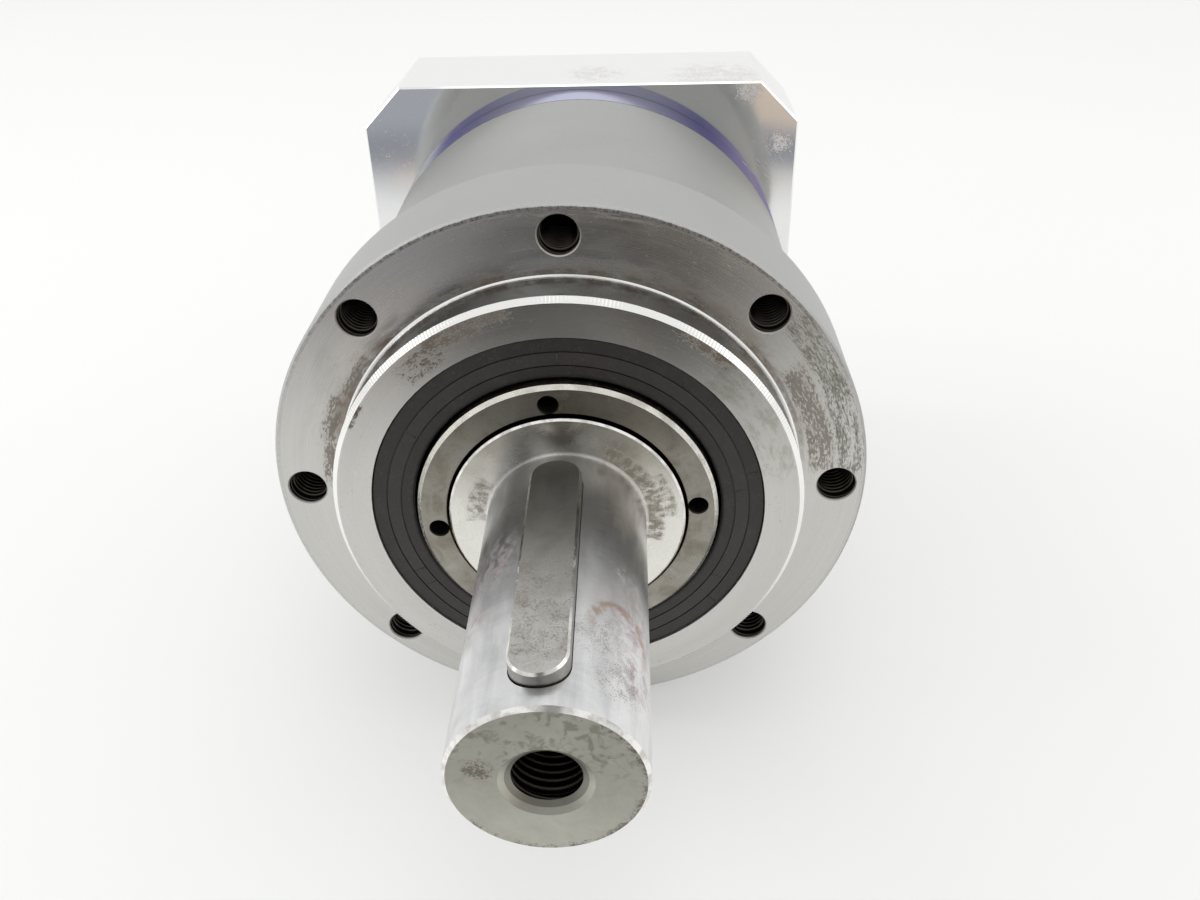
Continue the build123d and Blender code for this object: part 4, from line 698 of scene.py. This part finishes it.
def thread_piece(name, centres, mouth, sense, major, minor, pitch, length, body, material, lead=0.0):
    """One piece with a thread at each centre."""
    mesh = bmesh.new()
    for centre in centres:
        cut_thread(mesh, centre, mouth, sense, major, minor, pitch, length, lead)
    bmesh.ops.recalc_face_normals(mesh, faces=mesh.faces)
    return new_piece(name, mesh, body, material)


def on_circle(radius, count, start=0.0):
    """Centres (x, z) spaced evenly on a circle."""
    angles = [start + k * 2 * pi / count for k in range(count)]
    return [(radius * cos(angle), radius * sin(angle)) for angle in angles]


def cut_threads():
    """Threads in the flange, in the shaft's end and in the motor side of the plate."""
    # The steel threads in the flange and in the shaft's end are coloured nearly black, painted shade inside
    # the holes; the aluminium threads keep a bright colour.
    dark = plain_metal("thread_finish", (0.035, 0.030, 0.025), (0.14, 0.12, 0.10), 0.25, 0.42, 0.5)
    bright = plain_metal("aluminium_thread_finish", (0.50, 0.50, 0.50), (0.70, 0.70, 0.70), 0.2, 0.35, 0.5)
    thread_piece("flange_threads", on_circle(FLANGE_BOLT_CIRCLE_R, 8), 1.2, 1, FLANGE_BOLT_R, 4.2, 1.5, 18,
                 "housing", dark)
    black = plain_metal("deep_thread_finish", (0.018, 0.015, 0.012), (0.07, 0.058, 0.048), 0.28, 0.45, 0.5)
    thread_piece("shaft_thread", [(0, 0)], SHAFT_END + 2.3, 1, CENTRE_THREAD_R, CENTRE_CREST_R, 2.0, 34,
                 "output_assembly", black, lead=0.8)
    thread_piece("motor_threads", on_circle(MOTOR_BOLT_CIRCLE_R, 4, pi / 4), PLATE_BACK - 1.0, -1,
                 MOTOR_BOLT_R, 3.4, 1.25, 18, "housing", bright)


def ring_piece(name, section, body, material, segments=240):
    """Ring with a closed section of (radius, y) points turned about the shaft axis."""
    mesh = bmesh.new()
    rings = []
    for step in range(segments):
        angle = step * 2 * pi / segments
        rings.append([mesh.verts.new(Vector((r * cos(angle), y, r * sin(angle))) * MM) for r, y in section])
    count = len(section)
    for index, ring in enumerate(rings):
        after = rings[(index + 1) % segments]
        for k in range(count):
            mesh.faces.new((ring[k], ring[(k + 1) % count], after[(k + 1) % count], after[k]))
    bmesh.ops.recalc_face_normals(mesh, faces=mesh.faces)
    piece = new_piece(name, mesh, body, material)
    for polygon in piece.data.polygons:
        polygon.use_smooth = False
    return piece


def turned_corners():
    """Bright corner that closes the pilot's groove, and the countersunk start of the centre thread."""
    matte = plain_metal("thread_mouth_finish", (0.24, 0.23, 0.20), (0.36, 0.35, 0.31), 0.38, 0.5, 0.5)
    root = ((PILOT_R - 0.05, -0.38), (PILOT_R + 0.42, 0.0), (PILOT_R + 1.25, 0.01), (PILOT_R + 1.25, 0.3),
            (PILOT_R - 0.05, 0.45))
    ring_piece("pilot_root_corner", root, "housing", finishes["blasted_steel"])
    wall_r = CENTRE_THREAD_R + 0.1
    mouth = ((wall_r, SHAFT_END + 0.9), (CENTRE_CREST_R, SHAFT_END + 1.75), (wall_r, SHAFT_END + 2.3))
    ring_piece("thread_mouth", mouth, "output_assembly", matte, 120)


def seal_ticks():
    """Short moulded ribs across the seal's face."""
    mesh = bmesh.new()
    turns = (96, 91, 8, 14, 205, 212, 322, 331, 148, 52)
    for index, degrees_turn in enumerate(turns):
        inner = 42.9 if index % 3 else 46.4
        outer = 45.7 if index % 3 else 49.0
        middle = (inner + outer) / 2
        turn = radians(degrees_turn)
        centre = Vector((middle * cos(turn), SEAL_FACE, middle * sin(turn)))
        size = Matrix.Diagonal(((outer - inner), 0.24, 0.42, 1))
        spin = Matrix.Rotation(-turn, 4, "Y")
        place = Matrix.Scale(MM, 4) @ Matrix.Translation(centre) @ spin @ size
        bmesh.ops.create_cube(mesh, size=1.0, matrix=place)
    bmesh.ops.bevel(mesh, geom=list(mesh.edges), offset=0.08 * MM, segments=2, affect="EDGES")
    new_piece("seal_mould_ribs", mesh, "housing", finishes["seal_rubber"])


def make_floor():
    """Pale floor, tipped a little so that both the flange and the plate rest on it."""
    run = (plate_high.y - FLANGE_BACK) * MM
    rise = (plate_low.z - housing_low.z) * MM
    slope = rise / run
    mesh = bmesh.new()
    reach = 6.0
    bmesh.ops.create_grid(mesh, x_segments=2, y_segments=2, size=reach)
    data = bpy.data.meshes.new("floor")
    mesh.to_mesh(data)
    mesh.free()
    floor = bpy.data.objects.new("floor", data)
    pivot = Vector((0, FLANGE_BACK, housing_low.z)) * MM
    floor.matrix_world = Matrix.Translation(pivot) @ Matrix.Rotation(slope, 4, "X")
    bpy.context.scene.collection.objects.link(floor)
    m = Finish("floor_finish", (0.51, 0.51, 0.505), 0.0, 0.6)
    tone = m.noise(400.0, 3.0, 0.5)
    m.set(colour=m.mix(tone, (0.495, 0.494, 0.488), (0.525, 0.524, 0.518)))
    # A little light of its own keeps the sheet pale close to the object, as an even softbox below it would.
    m.shader.inputs["Emission Color"].default_value = (1.0, 0.998, 0.985, 1)
    m.shader.inputs["Emission Strength"].default_value = 0.36
    data.materials.append(m.material)
    return floor


def make_flag(floor):
    """Darker surroundings in front, just over the floor, seen only in reflections."""
    mesh = bmesh.new()
    bmesh.ops.create_grid(mesh, x_segments=1, y_segments=1, size=1.0)
    data = bpy.data.meshes.new("flag")
    mesh.to_mesh(data)
    mesh.free()
    flag = bpy.data.objects.new("flag", data)
    flag.matrix_world = floor.matrix_world @ Matrix.Translation((0, -1.13, 0.0008))
    bpy.context.scene.collection.objects.link(flag)
    m = Finish("flag_finish", (0.2, 0.2, 0.2), 0.0, 1.0)
    tree = m.tree
    # Places in millimetres from the flange, along the floor.
    depth = m.math("ADD", m.y, -1130.0)
    aside = m.math("MULTIPLY", m.math("ABSOLUTE", m.x), 0.35)
    near_edge = m.step(m.math("ADD", depth, aside), -150.0, -285.0)
    middle = m.step(m.math("ABSOLUTE", m.math("ADD", m.x, -10.0)), 150.0, 50.0)
    cover = m.product(near_edge, m.scaled(middle, 0.85, 1.0))
    colour = m.mix(middle, (0.30, 0.315, 0.36), (0.062, 0.058, 0.052))
    # Seen in the plate's right corner: a dark slanting band, beige beyond it and pale before it.
    across = m.math("SUBTRACT", m.math("MULTIPLY", m.x, 0.395), m.math("MULTIPLY", depth, 0.918))
    right = m.step(m.x, 62.0, 84.0)
    drift = m.math("ADD", across, m.scaled(m.noise(60.0, 3.0), -25.0, 25.0))
    colour = m.mix(m.product(right, m.step(drift, 345.0, 310.0), 0.8), colour, (0.55, 0.52, 0.47))
    colour = m.mix(m.product(right, m.span(drift, 345.0, 405.0, 22.0)), colour, (0.17, 0.185, 0.22))
    colour = m.mix(m.product(right, m.step(drift, 415.0, 450.0)), colour, (0.60, 0.49, 0.39))
    # Seen in the left corner: a beige patch beside the ring and a dark cloud beyond it.
    left = m.combine(m.x, depth, 0.0)
    beige = m.step(m.vector("DISTANCE", left, (-118.0, -295.0, 0.0)), 50.0, 15.0)
    cloud = m.step(m.vector("DISTANCE", left, (-170.0, -365.0, 0.0)), 85.0, 30.0)
    colour = m.mix(cloud, colour, (0.17, 0.185, 0.225))
    colour = m.mix(beige, colour, (0.62, 0.46, 0.35))
    clear = m.node("ShaderNodeBsdfTransparent")
    dark = m.node("ShaderNodeEmission")
    m.link(colour, dark.inputs["Color"])
    blend = m.node("ShaderNodeMixShader")
    m.link(cover, blend.inputs["Fac"])
    tree.links.new(clear.outputs[0], blend.inputs[1])
    tree.links.new(dark.outputs[0], blend.inputs[2])
    tree.links.new(blend.outputs[0], tree.nodes["Material Output"].inputs["Surface"])
    tree.nodes.remove(m.shader)
    data.materials.append(m.material)
    flag.visible_camera = False
    flag.visible_diffuse = False
    flag.visible_shadow = False
    flag.visible_transmission = False


def make_world():
    """Soft white surroundings, with the darker room behind the camera in reflections only."""
    world = bpy.data.worlds.new("studio")
    bpy.context.scene.world = world
    world.use_nodes = True
    tree = world.node_tree
    tree.nodes.clear()
    place = tree.nodes.new("ShaderNodeTexCoord")
    parts = tree.nodes.new("ShaderNodeSeparateXYZ")
    tree.links.new(place.outputs["Generated"], parts.inputs[0])

    def ranged(socket, low, high, start, end):
        node = tree.nodes.new("ShaderNodeMapRange")
        node.interpolation_type = "SMOOTHSTEP"
        tree.links.new(socket, node.inputs["Value"])
        node.inputs["From Min"].default_value = low
        node.inputs["From Max"].default_value = high
        node.inputs["To Min"].default_value = start
        node.inputs["To Max"].default_value = end
        return node.outputs["Result"]

    def multiply(first, second):
        node = tree.nodes.new("ShaderNodeMath")
        node.operation = "MULTIPLY"
        tree.links.new(first, node.inputs[0])
        tree.links.new(second, node.inputs[1])
        return node.outputs[0]

    front = ranged(parts.outputs["Y"], -0.80, -0.35, 1.0, 0.0)
    low = ranged(parts.outputs["Z"], 0.25, 0.50, 1.0, 0.0)
    room = multiply(front, low)
    # Whoever stands behind the camera.
    toward = tree.nodes.new("ShaderNodeVectorMath")
    toward.operation = "DOT_PRODUCT"
    toward.inputs[1].default_value = Vector((0.05, -0.78, 0.62)).normalized()
    tree.links.new(place.outputs["Generated"], toward.inputs[0])
    holder = ranged(toward.outputs["Value"], 0.955, 0.985, 0.0, 1.0)
    darkest = tree.nodes.new("ShaderNodeMath")
    darkest.operation = "MAXIMUM"
    tree.links.new(room, darkest.inputs[0])
    tree.links.new(holder, darkest.inputs[1])
    path = tree.nodes.new("ShaderNodeLightPath")
    unseen = tree.nodes.new("ShaderNodeMath")
    unseen.operation = "SUBTRACT"
    unseen.inputs[0].default_value = 1.0
    tree.links.new(path.outputs["Is Camera Ray"], unseen.inputs[1])
    share = multiply(darkest.outputs[0], unseen.outputs[0])
    mix = tree.nodes.new("ShaderNodeMix")
    mix.data_type = "RGBA"
    tree.links.new(share, mix.inputs["Factor"])
    mix.inputs[6].default_value = (0.955, 0.955, 0.945, 1)
    mix.inputs[7].default_value = (0.15, 0.145, 0.135, 1)
    background = tree.nodes.new("ShaderNodeBackground")
    background.inputs["Strength"].default_value = 0.94
    tree.links.new(mix.outputs[2], background.inputs["Color"])
    out = tree.nodes.new("ShaderNodeOutputWorld")
    tree.links.new(background.outputs[0], out.inputs["Surface"])


def soft_light(name, place, target, size, power, colour=(1, 1, 1)):
    """Square area light at a place, turned to a target."""
    light = bpy.data.lights.new(name, "AREA")
    light.size = size
    light.energy = power
    light.color = colour
    lamp = bpy.data.objects.new(name, light)
    lamp.location = place
    lamp.rotation_euler = (Vector(target) - Vector(place)).to_track_quat("-Z", "Y").to_euler()
    bpy.context.scene.collection.objects.link(lamp)


def make_camera():
    """Camera at the photograph's viewing angle."""
    data = bpy.data.cameras.new("camera")
    data.sensor_width = 36.0
    data.lens = 31.83
    data.clip_start = 0.01
    camera = bpy.data.objects.new("camera", data)
    pitch, yaw, roll = radians(33.24), radians(-2.15), radians(-1.59)
    level = Matrix.Rotation(-yaw, 4, "Z") @ Matrix.Rotation(pi / 2 - pitch, 4, "X")
    turn = level @ Matrix.Rotation(roll, 4, "Z")
    camera.matrix_world = Matrix.Translation(Vector((16.8, -229.2, 161.6)) * MM) @ turn
    bpy.context.scene.collection.objects.link(camera)
    bpy.context.scene.camera = camera


dress_nodes()
cut_threads()
turned_corners()
seal_ticks()
make_flag(make_floor())
make_world()
soft_light("top_light", (0.15, 0.15, 1.3), (0, 0.02, 0), 1.1, 4.0, (1.0, 0.99, 0.97))
soft_light("left_light", (-1.1, 0.1, 0.8), (0, 0.03, 0), 0.8, 4.5, (0.97, 0.985, 1.0))
soft_light("right_light", (1.2, 0.0, 0.7), (0, 0.03, 0), 0.8, 2.0, (1.0, 0.99, 0.98))
make_camera()
bpy.context.scene.view_settings.view_transform = "Standard"
